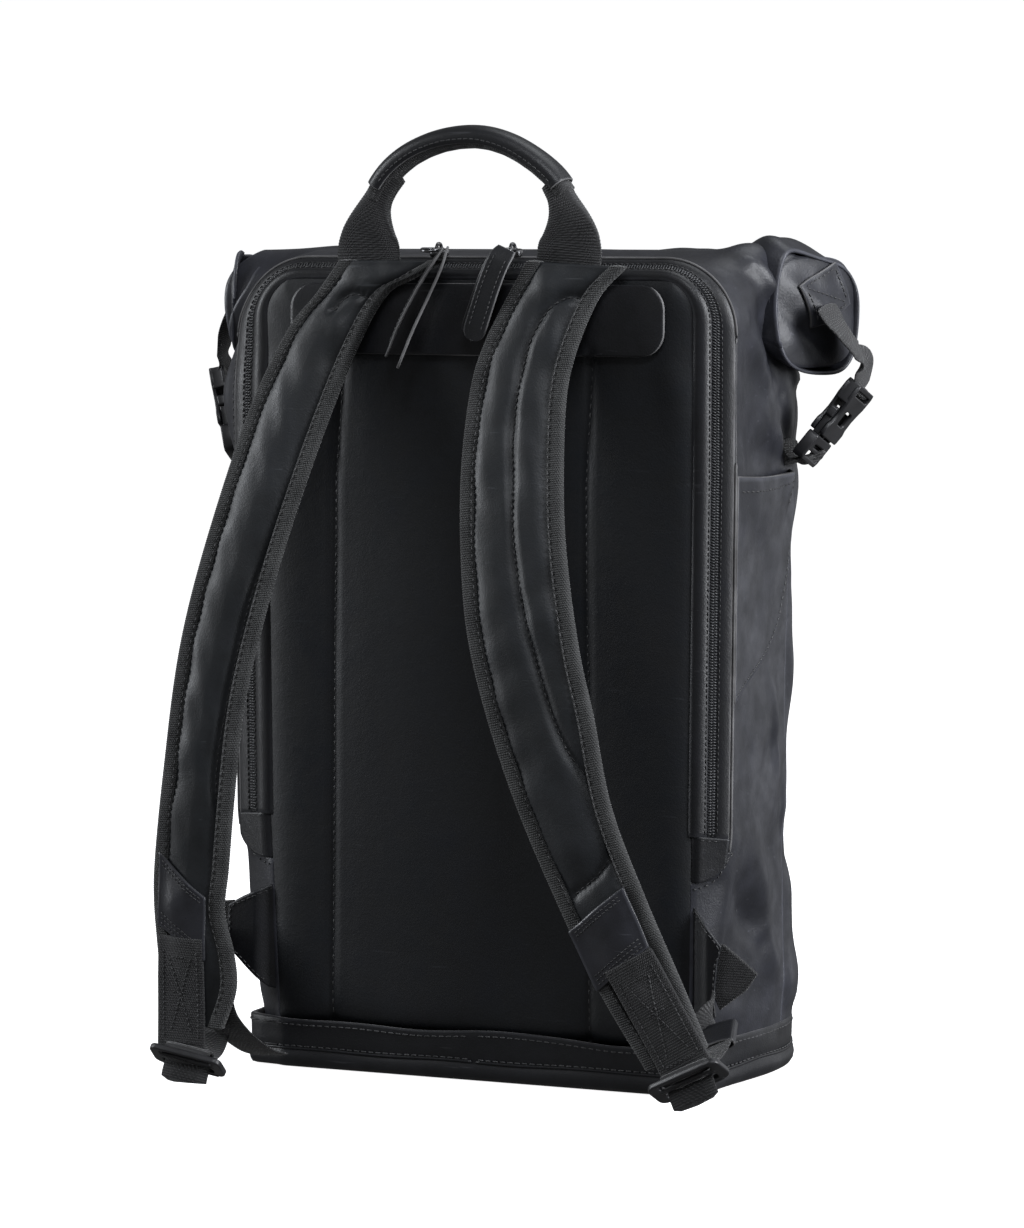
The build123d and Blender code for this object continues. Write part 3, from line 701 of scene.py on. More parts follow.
# The straps' copy of the one black leather is lighter than the panel's: painted light on the straps.
STRAP_LIT_LEATHER = leather("strap_leather", (0.0060, 0.0072, 0.0086), (0.0175, 0.0195, 0.0225), rough=0.46, grain=0.9)
BADGE = leather("badge_leather", (0.0100, 0.0105, 0.0142), (0.0230, 0.0240, 0.0305), rough=0.30, grain=0.7,
                gloss=0.45)
RAW = plain("raw_edge", (0.055, 0.054, 0.055), (0.14, 0.138, 0.14), 0.72, grain=1500.0, relief=0.4)
THREAD = plain("thread", (0.017, 0.017, 0.018), (0.042, 0.042, 0.044), 0.5, grain=2600.0, relief=0.5)
WEBBING = woven("webbing", (0.008, 0.008, 0.0088), (0.030, 0.030, 0.031), pitch=WEB_RIB)
BINDING = woven("binding", (0.010, 0.0105, 0.0110), (0.050, 0.051, 0.051), pitch=BINDING_RIB)
TAPE = woven("zip_tape", (0.007, 0.0075, 0.009), (0.019, 0.020, 0.023), pitch=1.2, rough=0.6)
COIL = plain("zip_coil", (0.013, 0.0135, 0.0155), (0.024, 0.025, 0.028), 0.42, gloss=0.1)
PLASTIC = plain("buckle_plastic", (0.010, 0.010, 0.0115), (0.019, 0.019, 0.021), 0.40, grain=900.0,
                relief=0.15)
METAL = plain("zip_metal", (0.10, 0.10, 0.105), (0.16, 0.16, 0.165), 0.28, metal=1.0)
LINING = woven("lining", (0.010, 0.011, 0.013), (0.030, 0.032, 0.036), pitch=0.8)
BOARD = plain("board", (0.02, 0.02, 0.022), (0.035, 0.035, 0.037), 0.7)

# ---- camera, light and floor ---------------------------------------------------------------------
CAMERA_AZIMUTH = math.radians(23.28)
CAMERA_DISTANCE, CAMERA_HEIGHT = 2.6794, 0.481
CAMERA_DOWN, CAMERA_YAW = math.radians(4.85), math.radians(0.193)
camera_data = bpy.data.cameras.new("camera")
camera_data.lens = 140.5
camera_data.clip_end = 60
camera = bpy.data.objects.new("camera", camera_data)
camera.location = (math.sin(CAMERA_AZIMUTH) * CAMERA_DISTANCE, -math.cos(CAMERA_AZIMUTH) * CAMERA_DISTANCE,
                   CAMERA_HEIGHT)
camera.rotation_euler = (math.pi / 2 - CAMERA_DOWN, 0, CAMERA_AZIMUTH + CAMERA_YAW)
bpy.context.scene.collection.objects.link(camera)
bpy.context.scene.camera = camera
bpy.context.scene.view_settings.view_transform = "Standard"

BACKDROP, SURROUND = 1.02, 0.15
world = bpy.data.worlds.new("studio")
world.use_nodes = True
# a white backdrop in view, and a dimmer room around the bag
seen = world.node_tree.nodes.new("ShaderNodeLightPath")
glow = world.node_tree.nodes.new("ShaderNodeMapRange")
glow.inputs["To Min"].default_value = SURROUND
glow.inputs["To Max"].default_value = BACKDROP
world.node_tree.links.new(seen.outputs["Is Camera Ray"], glow.inputs["Value"])
world.node_tree.links.new(glow.outputs[0], world.node_tree.nodes["Background"].inputs["Strength"])
world.node_tree.nodes["Background"].inputs["Color"].default_value = (0.985, 0.99, 1.0, 1)
bpy.context.scene.world = world


def lamp(name, place, aim, size, power, colour=(1, 1, 1)):
    """A soft rectangular light aimed at a point, all in metres."""
    light = bpy.data.lights.new(name, "AREA")
    light.shape = "RECTANGLE"
    light.size, light.size_y = size
    light.energy = power
    light.color = colour
    obj = bpy.data.objects.new(name, light)
    obj.location = place
    obj.rotation_euler = (Vector(aim) - Vector(place)).to_track_quat("-Z", "Y").to_euler()
    bpy.context.scene.collection.objects.link(obj)


lamp("top_softbox", (0.5, 0.7, 2.3), (0, 0, 0.25), (1.6, 1.2), 15, (0.94, 0.97, 1.0))
lamp("right_strip", (2.2, -0.2, 0.9), (0.14, 0, 0.22), (0.6, 1.9), 80, (0.94, 0.96, 1.0))
lamp("back_right", (1.5, 2.4, 0.9), (0.14, 0, 0.22), (1.8, 2.8), 12, (0.94, 0.96, 1.0))
lamp("left_strip", (-1.9, -0.7, 0.9), (-0.1, 0, 0.25), (0.5, 1.6), 30, (0.93, 0.96, 1.0))
lamp("front_high", (0.9, -1.9, 2.4), (0, -0.1, 0.30), (0.9, 0.6), 26, (0.92, 0.95, 1.0))


def flat_colour(name, colour, rough, glow=0.0):
    """Even matt surface for the floor, which may glow."""
    material, principled, _, _ = shader(name)
    principled.inputs["Base Color"].default_value = (*colour, 1)
    principled.inputs["Roughness"].default_value = rough
    principled.inputs["Specular IOR Level"].default_value = 0.2
    principled.inputs["Emission Color"].default_value = (1, 1, 1, 1)
    principled.inputs["Emission Strength"].default_value = glow
    return material


def stage_plane(name, corners, material):
    """A plane of the stage, its corners in metres."""
    mesh = bpy.data.meshes.new(name)
    mesh.from_pydata(corners, [], [(0, 1, 2, 3)])
    mesh.materials.append(material)
    obj = bpy.data.objects.new(name, mesh)
    bpy.context.scene.collection.objects.link(obj)
    return obj


FLOOR_REACH = 14.0
floor = stage_plane("floor", [(-FLOOR_REACH, -FLOOR_REACH, 0), (FLOOR_REACH, -FLOOR_REACH, 0),
                              (FLOOR_REACH, FLOOR_REACH, 0), (-FLOOR_REACH, FLOOR_REACH, 0)],
                    flat_colour("pale_floor", (0.9, 0.9, 0.91), 0.6, glow=0.90))
floor.visible_diffuse = False
floor.visible_glossy = False


# ---- body: the soft shell ------------------------------------------------------------------------
def outline_normals(line):
    """Outward unit normals of an (x, z) line that runs up the left side and down the right."""
    tangent = np.gradient(line, axis=0)
    return unit(np.stack([-tangent[:, 1], tangent[:, 0]], 1))


SHELL_START_Y, SEAM_CURVE_LOW, SEAM_CURVE = -49.0, 117.0, 17.0


def shell_wrap_points():
    """From the compartment's seam back to the side seams, up one side, over the top and down the other.

    Under the zip's end patches the seam curves in, so the side's leather runs on to the back panel's edge.
    """
    grid = []
    for y in np.linspace(SHELL_START_Y, SIDE_SEAM_Y, 66):
        rise = ease((y - SEAM_Y) / 52)
        corner = 40 - 19 * rise
        top = PANEL_TOP + 4.6 * rise - 5.0 * ease((y - 20) / 9)
        line = arch_line(0, top=top, corner=corner, bottom=BAND_TOP - 6)
        x, z = line[:, 0], line[:, 1]
        sign = np.sign(x)
        normal = outline_normals(line)
        side_share = ease((np.abs(normal[:, 0]) - 0.15) / 0.7)
        low = np.minimum(z, PANEL_TOP - corner)
        x = x + sign * (side_x(y, low) - half_width(low)) * side_share
        right = side_relief("right", y, z)
        left = side_relief("left", y, z)
        relief = np.where(sign > 0, right, left) * side_share
        place = np.stack([x * 0.5, np.full(len(x), y)], 1)
        over_top = (1.5 * waves(place, 60, 21) - 2.2 * bump(y, -22, 14)) * ease((y - SEAM_Y) / 14)
        peak = 7.0 * bump(x, 139, 13) * ease((y + 34) / 36) * ease((z - 440) / 14)
        relief = relief + over_top * (1 - side_share) * (1 - ease((y - 4) / 16)) + peak
        x = x + normal[:, 0] * relief
        z = z + normal[:, 1] * relief
        grid.append(np.stack([x, np.full(len(x), y), z], 1))
    grid = np.array(grid)
    inner, outer = (arch_line(share, bottom=BAND_TOP - 6) for share in (1, 0))
    z = outer[:, 1]
    seam = np.sqrt(np.clip(1 - ((SEAM_CURVE_LOW + SEAM_CURVE - z) / SEAM_CURVE).clip(0, 1) ** 2, 0, 1))
    seam = np.where(z < SEAM_CURVE_LOW, 0.0, seam)
    low = np.column_stack([inner[:, 0], np.full(len(z), PANEL_Y + 2.4), inner[:, 1]])
    high = np.column_stack([outer[:, 0], np.full(len(z), SEAM_Y), outer[:, 1]])
    start = low + (high - low) * seam[:, None] - [0, 0.8, 0] * (seam[:, None] > 0.5)
    first = []
    for t in np.linspace(0, 1, 9, endpoint=False):
        first.append((1 - t) ** 2 * start + 2 * t * (1 - t) * high + t * t * grid[0])
    return np.concatenate([first, grid])


def front_points():
    """The front wall, from one side seam round both corners to the other."""
    grid = []
    for z in np.linspace(BAND_TOP - 4, BODY_TOP, 120):
        depth = float(front_y(z))
        half = float(side_x(SIDE_SEAM_Y, z))
        left_half = half + float(side_relief("left", SIDE_SEAM_Y, z))
        right_half = half + float(side_relief("right", SIDE_SEAM_Y, z))
        turn = np.linspace(0, math.pi / 2, 30)
        reach = 22.0
        ry = depth - SIDE_SEAM_Y
        left = np.stack([-(left_half - reach + reach * np.cos(turn)), SIDE_SEAM_Y + ry * np.sin(turn)], 1)
        right = np.stack([right_half - reach + reach * np.cos(turn), SIDE_SEAM_Y + ry * np.sin(turn)], 1)
        run = np.linspace(left[-1, 0], right[-1, 0], 110)[1:-1]
        line = np.vstack([left, np.stack([run, np.full(len(run), depth)], 1), right[::-1]])
        grid.append(np.column_stack([line, np.full(len(line), z)]))
    grid = np.array(grid)
    normals = grid_normals(grid)
    normals *= np.where(normals[:, :, 1:2].mean() < 0, -1, 1)
    x, z = grid[..., 0], grid[..., 2]
    away = ease((grid[..., 1] - SIDE_SEAM_Y) / 10) * ease((z - BAND_TOP) / 12) * ease((BODY_TOP + 6 - z) / 18)
    place = np.stack([x * 0.55, z], -1)
    relief = 2.0 * waves(place, 95, 31) + 0.8 * waves(place, 38, 32)
    relief += folds(x, z, [(-120, 130, 110, 150, 15, -4.5), (-110, 176, 60, 168, 12, 3.0),
                           (-30, 120, 128, 104, 12, 3.2), (-90, 330, -20, 270, 20, 2.5),
                           (60, 350, 110, 290, 16, 2.8), (-128, 240, -80, 215, 10, -2.4)])
    return grid + normals * (relief * away)[..., None]


shell_grid = shell_wrap_points()
shell_wrap = sheet_mesh("shell_wrap", shell_grid, LEATHER, SHELL, RAW, normals=-grid_normals(shell_grid),
                        edge_wear=0.7)
settle(shell_wrap, "bag", "shell_leather", "laptop_wall", "side_panel_left", "side_panel_right",
       "gusset_lower")
cloth(shell_grid)
for face in shell_wrap.data.polygons:
    if face.center.z < (SEAM_CURVE_LOW + 2) * MM:
        face.material_index = 0
front_grid = front_points()
front_wall = sheet_mesh("front_wall", front_grid, LEATHER, SHELL, RAW)
settle(front_wall, "bag", "shell_leather", "front_panel", "collar")
cloth(front_grid)


# ---- the roll ------------------------------------------------------------------------------------
ROLL_SQUARE = 1.5


def roll_points():
    """The flattened mouth, rolled up: a spiral that starts low at the back and goes over the top."""
    turn = np.radians(np.linspace(214, -640, 190))
    turns_in = np.clip((np.radians(-146) - turn) / TAU, 0, None)
    radius = ROLL_RADIUS - 6.2 * turns_in
    share = np.linspace(0, 1, 150)
    share = share - 0.03 * np.sin(share * TAU)
    height = radius * np.sin(turn)
    depth = radius * np.cos(turn)
    hidden = 14 * ease(turns_in * 6)
    right_end = 150 + 27 * (depth + 29) / 58 - 3.0 * turns_in - hidden
    left_end = -186 - 11 * (depth + 29) / 58 + 17 * np.clip(height / 29, 0, 1) ** 3
    left_end = left_end + 7 * np.clip(-height / 29, 0, 1) ** 2 + 4.0 * turns_in + hidden
    x = left_end[None] + (right_end - left_end)[None] * share[:, None]
    grow = 1.0 + 0.045 * waves(np.stack([x * 0.5, np.broadcast_to(turn * 22, x.shape)], -1), 60, 41)
    up = ease(np.sin(turn)[None] * 1.2)
    down = ease(-np.sin(turn)[None] * 1.4)
    lift = 9.0 * bump(x, 141, 15) * up - 5.0 * ease((x - 152) / 24) * up
    lift = lift - 2.2 * bump(x, 20, 60) * up + 2.0 * bump(x, 84, 12) * up * 0.6
    lift = lift - 8.0 * ease((x - 138) / 26) * down - 5.0 * ease((-x - 150) / 30) * down
    lift = lift + folds(x, turn[None] * 29, [(100, 40, 150, 66, 7, 2.2), (92, 20, 128, 52, 6, -2.0),
                                             (-160, 30, -90, 48, 8, 1.8), (-176, 8, -120, 20, 9, -2.0)])
    square = 2 + ROLL_SQUARE * ease((x - 100) / 48)
    c, q = np.abs(np.cos(turn))[None], np.abs(np.sin(turn))[None]
    grow = grow * (c**square + q**square) ** (-1 / square)
    z = ROLL_Z + height[None] * grow + lift
    y = ROLL_Y + depth[None] * grow
    return np.stack([x, y, z], -1)


roll_grid = roll_points()
roll = sheet_mesh("roll_mouth", roll_grid, LEATHER, SHELL, SHELL)
settle(roll, "bag", "shell_leather", "roll_outer_wrap", "roll_inner_wrap", "mouth_hem")
cloth(roll_grid)


EAR_CREASES = {
    "right": [(-2, 444, 44, 402, 6.0, 3.0), (-6, 430, 30, 398, 4.5, -2.6), (26, 446, 50, 420, 5.0, -1.6)],
    "left": [(0, 428, 44, 436, 5.0, -2.0), (8, 410, 44, 418, 4.0, 2.0)],
}
EAR_REACH, EAR_HEIGHT = 29.5, 426.5


def ear_x(side, y, z):
    """How far out the pressed layers at the end of the roll stand."""
    away = (np.abs((y - ROLL_Y) / EAR_REACH) ** 3 + np.abs((z - 423) / 32) ** 3) ** (1 / 3)
    bulge = np.sqrt(np.clip(1 - away**2, 0, 1))
    out = 146.5 + 0.4655 * (y + 7) if side == "right" else 180.5 + 0.19 * (y + 7)
    relief = folds(y, z, EAR_CREASES[side]) + 0.5 * waves(np.stack([y, z], -1), 20, 45)
    return SIDES[side] * (out + 5.5 * bulge + relief * bulge)


def ear_points(side):
    """The folded-in end of the roll: layers of the mouth pressed together, filling the roll's opening."""
    v, u = np.meshgrid(np.linspace(1, -1, 54), np.linspace(-1, 1, 54), indexing="ij")
    over = np.sin(u * math.pi / 2 * 0.97)
    y = ROLL_Y + EAR_REACH * over
    tall = (1 - np.abs(over) ** 3) ** (1 / 3)
    below = 33.0 if side == "right" else 30.0
    z = EAR_HEIGHT + v * tall * np.where(v > 0, 27.5 + 5.5 * ease((18 - y) / 20), below)
    return np.stack([ear_x(side, y, z), y, z], -1)


def make_ear(side):
    """The leather that closes one end of the roll."""
    grid = ear_points(side)
    normals = grid_normals(grid)
    normals *= np.where(normals[..., :1] * SIDES[side] > 0, 1, -1)
    ear = sheet_mesh(f"roll_ear_{side}", grid, LEATHER, SHELL, SHELL, normals=normals)
    settle(ear, "bag", "shell_leather")
    cloth(grid)


def make_ear_patch():
    """Sewn patch on the roll's right end that holds its webbing."""
    v, u = np.meshgrid(np.linspace(0, 1, 26), np.linspace(0, 1, 26), indexing="ij")
    middle, half, lean = np.array([24.0, 433.0]), 12.5, math.radians(24)
    a, b = (u * 2 - 1) * half * 1.25, (1 - v * 2) * half
    place_y = middle[0] + a * math.cos(lean) - b * math.sin(lean)
    place_z = middle[1] + a * math.sin(lean) + b * math.cos(lean)
    patch_grid = np.stack([ear_x("right", place_y, place_z) + 2.4, place_y, place_z], -1)
    outward = np.broadcast_to(unit(np.array([0.9, -0.42, 0.0])), patch_grid.shape).copy()
    patch = sheet_mesh("ear_patch", patch_grid, 1.6, SHELL, RAW, normals=outward, edge_wear=0.6)
    settle(patch, "bag", "shell_leather")
    cloth(patch_grid)
    runs = []
    corners = [(2, 2), (2, 23), (23, 23), (23, 2), (2, 2), (23, 23)]  # (row, column), round and across
    for start, end in zip(corners, corners[1:]):
        share = np.linspace(0, 1, 40)
        r = np.rint(start[0] + (end[0] - start[0]) * share).astype(int)
        c = np.rint(start[1] + (end[1] - start[1]) * share).astype(int)
        line = patch_grid[r, c]
        line = np.array([np.convolve(np.pad(line[:, k], 3, mode="edge"), np.ones(7) / 7, "valid")
                         for k in range(3)]).T
        runs.append((line + outward[0, 0] * 0.15, np.repeat(outward[:1, 0], 40, 0)))
    sew("ear_patch_stitches", runs, "bag", "shell_leather", pitch=3.6, length=2.6, radius=0.4)


for side in SIDES:
    make_ear(side)
make_ear_patch()


# ---- base ----------------------------------------------------------------------------------------
def base_loop():
    """Outline of the base, from the middle of the back round to the middle of the back."""
    back, corner = PANEL_Y - 1.2, 12.0
    front = float(front_y(10))
    side_run = np.linspace(back + corner, SIDE_SEAM_Y, 40)
    side_width = 131 + 9.4 * ease((side_run - SEAM_Y) / 80)
    turn = np.linspace(0, math.pi / 2, 20)
    half = [(x, back) for x in np.linspace(0, side_width[0] - corner, 60)[:-1]]
    half += [(side_width[0] - corner + corner * math.sin(a), back + corner - corner * math.cos(a))
             for a in turn]
    half += list(zip(side_width[1:], side_run[1:]))
    reach, depth = 24.0, front - SIDE_SEAM_Y
    half += [(side_width[-1] - reach + reach * math.cos(a), SIDE_SEAM_Y + depth * math.sin(a))
             for a in turn[1:]]
    half += [(x, front) for x in np.linspace(side_width[-1] - reach, 0, 60)[1:]]
    half = np.array(half)
    loop = np.vstack([half, half[-2:0:-1] * [-1, 1]])
    closed = np.vstack([loop, loop[:1]])
    steps = lengths(closed)
    wanted = np.linspace(0, steps[-1], 260, endpoint=False)
    return np.stack([np.interp(wanted, steps, closed[:, k]) for k in range(2)], 1)


def band_top_edge(x, y):
    """Wavy upper edge of the base band."""
    back = ease((-60 - y) / 6)
    wave = 1.0 * np.sin(x / 34.0) + 0.6 * np.sin(x / 13.0 + 1) - 3.6 * bump(x, 84, 26) * back
    return BAND_TOP + 0.2 + wave * (0.55 + 0.45 * back)


def make_base():
    """Base tray with its rolled lower edge, cut top edge, two rows of stitches and a welt."""
    loop = base_loop()
    outward = unit(np.stack([np.roll(loop[:, 1], -1) - np.roll(loop[:, 1], 1),
                             -(np.roll(loop[:, 0], -1) - np.roll(loop[:, 0], 1))], 1))
    x, y = loop[:, 0], loop[:, 1]
    edge = band_top_edge(x, y)
    place = np.stack([x, y], 1)
    wobble = 0.8 * waves(place, 55, 51)
    levels = []
    # (height, outward offset): underside, rolled lower edge, flat band, cut top edge, inside
    profile = [(1.6, -40), (0.9, -14), (0.4, -6), (0.2, -2.5), (1.0, 0.4), (3.2, 1.9), (6.2, 2.4), (9.4, 1.8),
               (11.0, 0.5), (11.8, 0.6), (13.5, 1.0), (18, 1.1), (23, 1.2)]
    for height, out in profile:
        z = np.full(len(x), float(height)) + (0.5 * wobble if 6 < height < 12 else 0)
        levels.append(np.column_stack([loop + outward * (out + 0.35 * wobble * (height > 2))[:, None], z]))
    for drop, out in ((1.2, 1.3), (0.0, 0.9), (0.1, -0.6), (2.0, -1.4)):
        levels.append(np.column_stack([loop + outward * out, edge - drop]))
    rings = np.array(levels)
    rows, cols = rings.shape[:2]
    faces = [tuple(q) for q in lattice(rows, cols, wrap=True)]
    centre = rings[0].mean(0)
    verts = np.vstack([rings.reshape(-1, 3), centre])
    faces += [(c, rows * cols, (c + 1) % cols) for c in range(cols)]
    cut = rows - 3  # the level of the cut top edge
    indices = np.zeros(len(faces), int)
    indices[cut * cols:(cut + 1) * cols] = 1
    wear = np.zeros(len(verts))
    wear[cut * cols:(cut + 1) * cols] = 0.6
    wear[5 * cols:7 * cols] = 0.12
    base = finish_mesh("base_band_leather", verts, faces, [EDGE, RAW], indices, None, wear)
    settle(base, "bag", "edge_leather", "base_band")
    normals = np.column_stack([outward, np.zeros(len(outward))])
    top = np.column_stack([loop + outward * 1.25, edge - 3.2])
    low = np.column_stack([loop + outward * 1.15, 12.6 + 0.4 * wobble])
    sew("base_stitches", [(top, normals), (low, normals)], "bag", "edge_leather")
    welt_line = np.column_stack([loop + outward * 0.8, np.full(len(x), 11.3) + 0.5 * wobble])
    welt = tube_mesh("base_welt", welt_line, 0.9, EDGE, around=8)
    settle(welt, "bag", "edge_leather")


make_base()


# ---- padded back panel ---------------------------------------------------------------------------
def pad_mesh(name, front, back, material):
    """A closed pad from a front and a back grid of the same shape."""
    rows, cols = front.shape[:2]
    count = rows * cols
    index = np.array([r * cols + c for r, c in border_of(rows, cols)])
    after = np.roll(index, -1)
    rim = np.stack([index, after, after + count, index + count], 1)
    faces = np.vstack([lattice(rows, cols, flip=True), lattice(rows, cols, start=count), rim])
    verts = np.vstack([front.reshape(-1, 3), back.reshape(-1, 3)])
    flow = flow_of(front).reshape(-1, 2)
    return finish_mesh(name, verts, faces, [material], None, np.vstack([flow, flow]), np.zeros(len(verts)))


def panel_grid():
    """(x, z) grid over the back panel, closer together round its top corners and towards its sides."""
    corner = PANEL_CORNER - BEVEL_SIDE
    top = PANEL_TOP - BEVEL_TOP
    heights = np.concatenate([np.linspace(BAND_TOP - 2, top - corner, 164),
                              top - corner + corner * np.sin(np.linspace(0, math.pi / 2, 27)[1:])])
    packed = math.pi / 2 * 0.92
    spread = np.sin(np.linspace(-1, 1, 120) * packed) / math.sin(packed)
    z = np.repeat(heights[:, None], len(spread), 1)
    return spread[None] * panel_half(z), z


def make_panel():
    """Padded back panel with its two sewn channels."""
    x, z = panel_grid()
    front = np.stack([x, panel_y(x, z), z], -1)
    back = np.stack([x * 0.995, np.full(x.shape, PANEL_Y + 5.0), z], -1)
    panel = pad_mesh("back_pad", front, back, PANEL_SHADED_LEATHER)
    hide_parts("back_panel", "back_panel_lower", "back_foam")
    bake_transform(panel)
    runs = []
    for side in CHANNELS:
        line_z = np.linspace(31, 398, 160)
        line_x = channel_x(side, line_z)
        depth = panel_y(line_x, line_z)
        runs.append(facing_wearer(np.stack([line_x, depth, line_z], 1)))
    seams = stitch_mesh("panel_stitches", runs, pitch=5.0, length=3.4)
    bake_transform(seams)


make_panel()


# ---- slanted gussets and the laptop zip ----------------------------------------------------------
def gusset_points(shares, lifts, bottom=BAND_TOP, half=None):
    """Grid over the slanted gusset: shares go from the panel's edge (0) to the seam (1)."""
    inner, outer = arch_line(1, bottom=bottom), arch_line(0, bottom=bottom)
    if half == "left":
        inner, outer = inner[:120], outer[:120]
    elif half == "right":
        inner, outer = inner[-120:], outer[-120:]
    low = np.column_stack([inner[:, 0], np.full(len(inner), PANEL_Y + 1.0), inner[:, 1]])
    high = np.column_stack([outer[:, 0], np.full(len(outer), SEAM_Y), outer[:, 1]])
    across = high - low
    along = np.gradient((low + high) / 2, axis=0)
    normal = unit(np.cross(across, along))
    normal *= np.where(normal[:, 1:2] > 0, -1, 1)
    grid = np.array([low + across * share + normal * lift for share, lift in zip(shares, lifts)])
    return grid, np.repeat(normal[None], len(shares), 0)


def gusset_sheet(name, span, crown, thick, material, edge, bottom, tuck=-1.2, steps=11):
    """A strip of the slanted gusset between two shares, crowned in the middle and tucked at its ends."""
    part = np.linspace(0, 1, steps)
    shares = span[0] + (span[1] - span[0]) * part
    lifts = crown * np.sin(math.pi * part) ** 0.7 + np.where(part < 0.5, tuck * (1 - part * 2) ** 2, 0.0)
    grid, normal = gusset_points(shares, lifts, bottom)
    strip = sheet_mesh(name, grid, thick, material, edge, normals=normal)
    cloth(grid)
    return strip


def picked(places, steps, values):
    """Rows of values at places along steps."""
    return np.stack([np.interp(places, steps, values[:, k]) for k in range(values.shape[1])], 1)


TEETH_PITCH = 1.55


def teeth_mesh(name, share, lift, length):
    """One side of the coil: a row of small rounded turns across the tape."""
    grid, normal = gusset_points([share - 0.1, share, share + 0.1], [lift] * 3, MID_Z + 0.6)
    line = grid[1]
    steps = lengths(line)
    places = np.arange(TEETH_PITCH, steps[-1] - TEETH_PITCH / 2, TEETH_PITCH)
    centre, up, cross = (picked(places, steps, values) for values in (line, normal[1], grid[2] - grid[0]))
    up, cross = unit(up), unit(cross)
    tangent = unit(np.cross(up, cross))
    profile = [(-0.5, 0.15, -0.35), (-0.34, 0.8, 0.1), (0.0, 1.0, 0.35), (0.34, 0.8, 0.1), (0.5, 0.15, -0.35)]
    angle = np.arange(6) / 6 * TAU
    rings = np.array([[centre + cross * a * length + up * h
                       + 0.52 * r * (math.cos(t) * tangent + 0.9 * math.sin(t) * up) for t in angle]
                      for a, r, h in profile])
    verts = rings.transpose(2, 0, 1, 3).reshape(-1, 3)
    one = lattice(len(profile), 6, wrap=True)
    faces = np.vstack([one + k * len(profile) * 6 for k in range(len(places))])
    return finish_mesh(name, verts, faces, [COIL])


def make_gussets():
    """Both sides of the laptop compartment's slanted gusset, with the zip between them."""
    door = gusset_sheet("gusset_door_leather", (-0.03, 0.43), 1.5, 1.4, EDGE, EDGE, bottom=MID_Z + 0.5)
    settle(door, "laptop_door", "shell_leather", "gusset_door_side")
    bag = gusset_sheet("gusset_bag_leather", (0.60, 1.03), 0.9, 1.4, EDGE, RAW, bottom=MID_Z - 1, tuck=0.0)
    settle(bag, "bag", "shell_leather", "gusset_bag_side")
    for name, body, span, node in (("zip_tape_door", "laptop_door", (0.36, 0.505), "zip_tape_door_side"),
                                   ("zip_tape_bag", "bag", (0.515, 0.66), "zip_tape_bag_side")):
        tape = gusset_sheet(name, span, 0.0, 0.7, TAPE, None, bottom=MID_Z + 0.5, tuck=0.0, steps=6)
        settle(tape, body, "zip_tape", node)
    settle(teeth_mesh("zip_coil_door", 0.468, 0.35, 3.2), "laptop_door", "zip_tape")
    settle(teeth_mesh("zip_coil_bag", 0.552, 0.35, 3.2), "bag", "zip_tape")
    for body, share, lift in (("bag", 0.66, 0.75), ("laptop_door", 0.36, 1.25)):
        grid, normal = gusset_points([share], [lift], MID_Z)
        sew(f"zip_stitches_{body}", [(grid[0], normal[0])], body, "zip_tape", pitch=3.2, length=2.2,
            radius=0.3)
    grid, _ = gusset_points([1.02], [0.6], MID_Z - 8)
    settle(tube_mesh("seam_piping", grid[0], 0.75, RAW, around=8), "bag", "shell_leather")


make_gussets()


# ---- end patches, top patch, keepers and wings ---------------------------------------------------
def make_end_patch(side):
    """Leather patch over the lower end of the zip, its lower outer corner rounded."""
    rows, cols = 15, 30
    shares = np.linspace(0.06, 0.97, rows)
    lifts = 1.5 - 2.4 * (1 - ease((shares - 0.06) / 0.16))
    grid, normal = gusset_points(shares, lifts, half=side)
    order = np.argsort(grid[0, :, 2])
    heights = grid[0, order, 2]
    points, normals = [], []
    for k, share in enumerate(shares):
        low = SEAM_CURVE_LOW + 0.8 + SEAM_CURVE * (1 - math.sqrt(1 - share**2))
        wanted = np.linspace(low, MID_Z + 0.8, cols)
        points.append(picked(wanted, heights, grid[k, order]))
        normals.append(picked(wanted, heights, normal[k, order]))
    points, normals = np.array(points), unit(np.array(normals))
    patch = sheet_mesh(f"zip_end_leather_{side}", points, 1.6, EDGE, EDGE, normals=normals, edge_wear=0.5)
    settle(patch, "bag", "edge_leather", f"zip_end_patch_{side}")
    cloth(points)
    runs = [(points[2:-2, -3], normals[2:-2, -3])]
    sew(f"zip_end_stitches_{side}", runs, "bag", "edge_leather", pitch=3.6, length=2.5, radius=0.36)


for side in SIDES:
    make_end_patch(side)

PATCH_HALF, PATCH_LOW, PATCH_HIGH, PATCH_CORNER = 110.5, 401.0, 439.0, 13.0


def on_panel(x, z, lift):
    """Points above the back panel's face."""
    return np.stack([x, panel_y(x, z) - lift, z], -1)


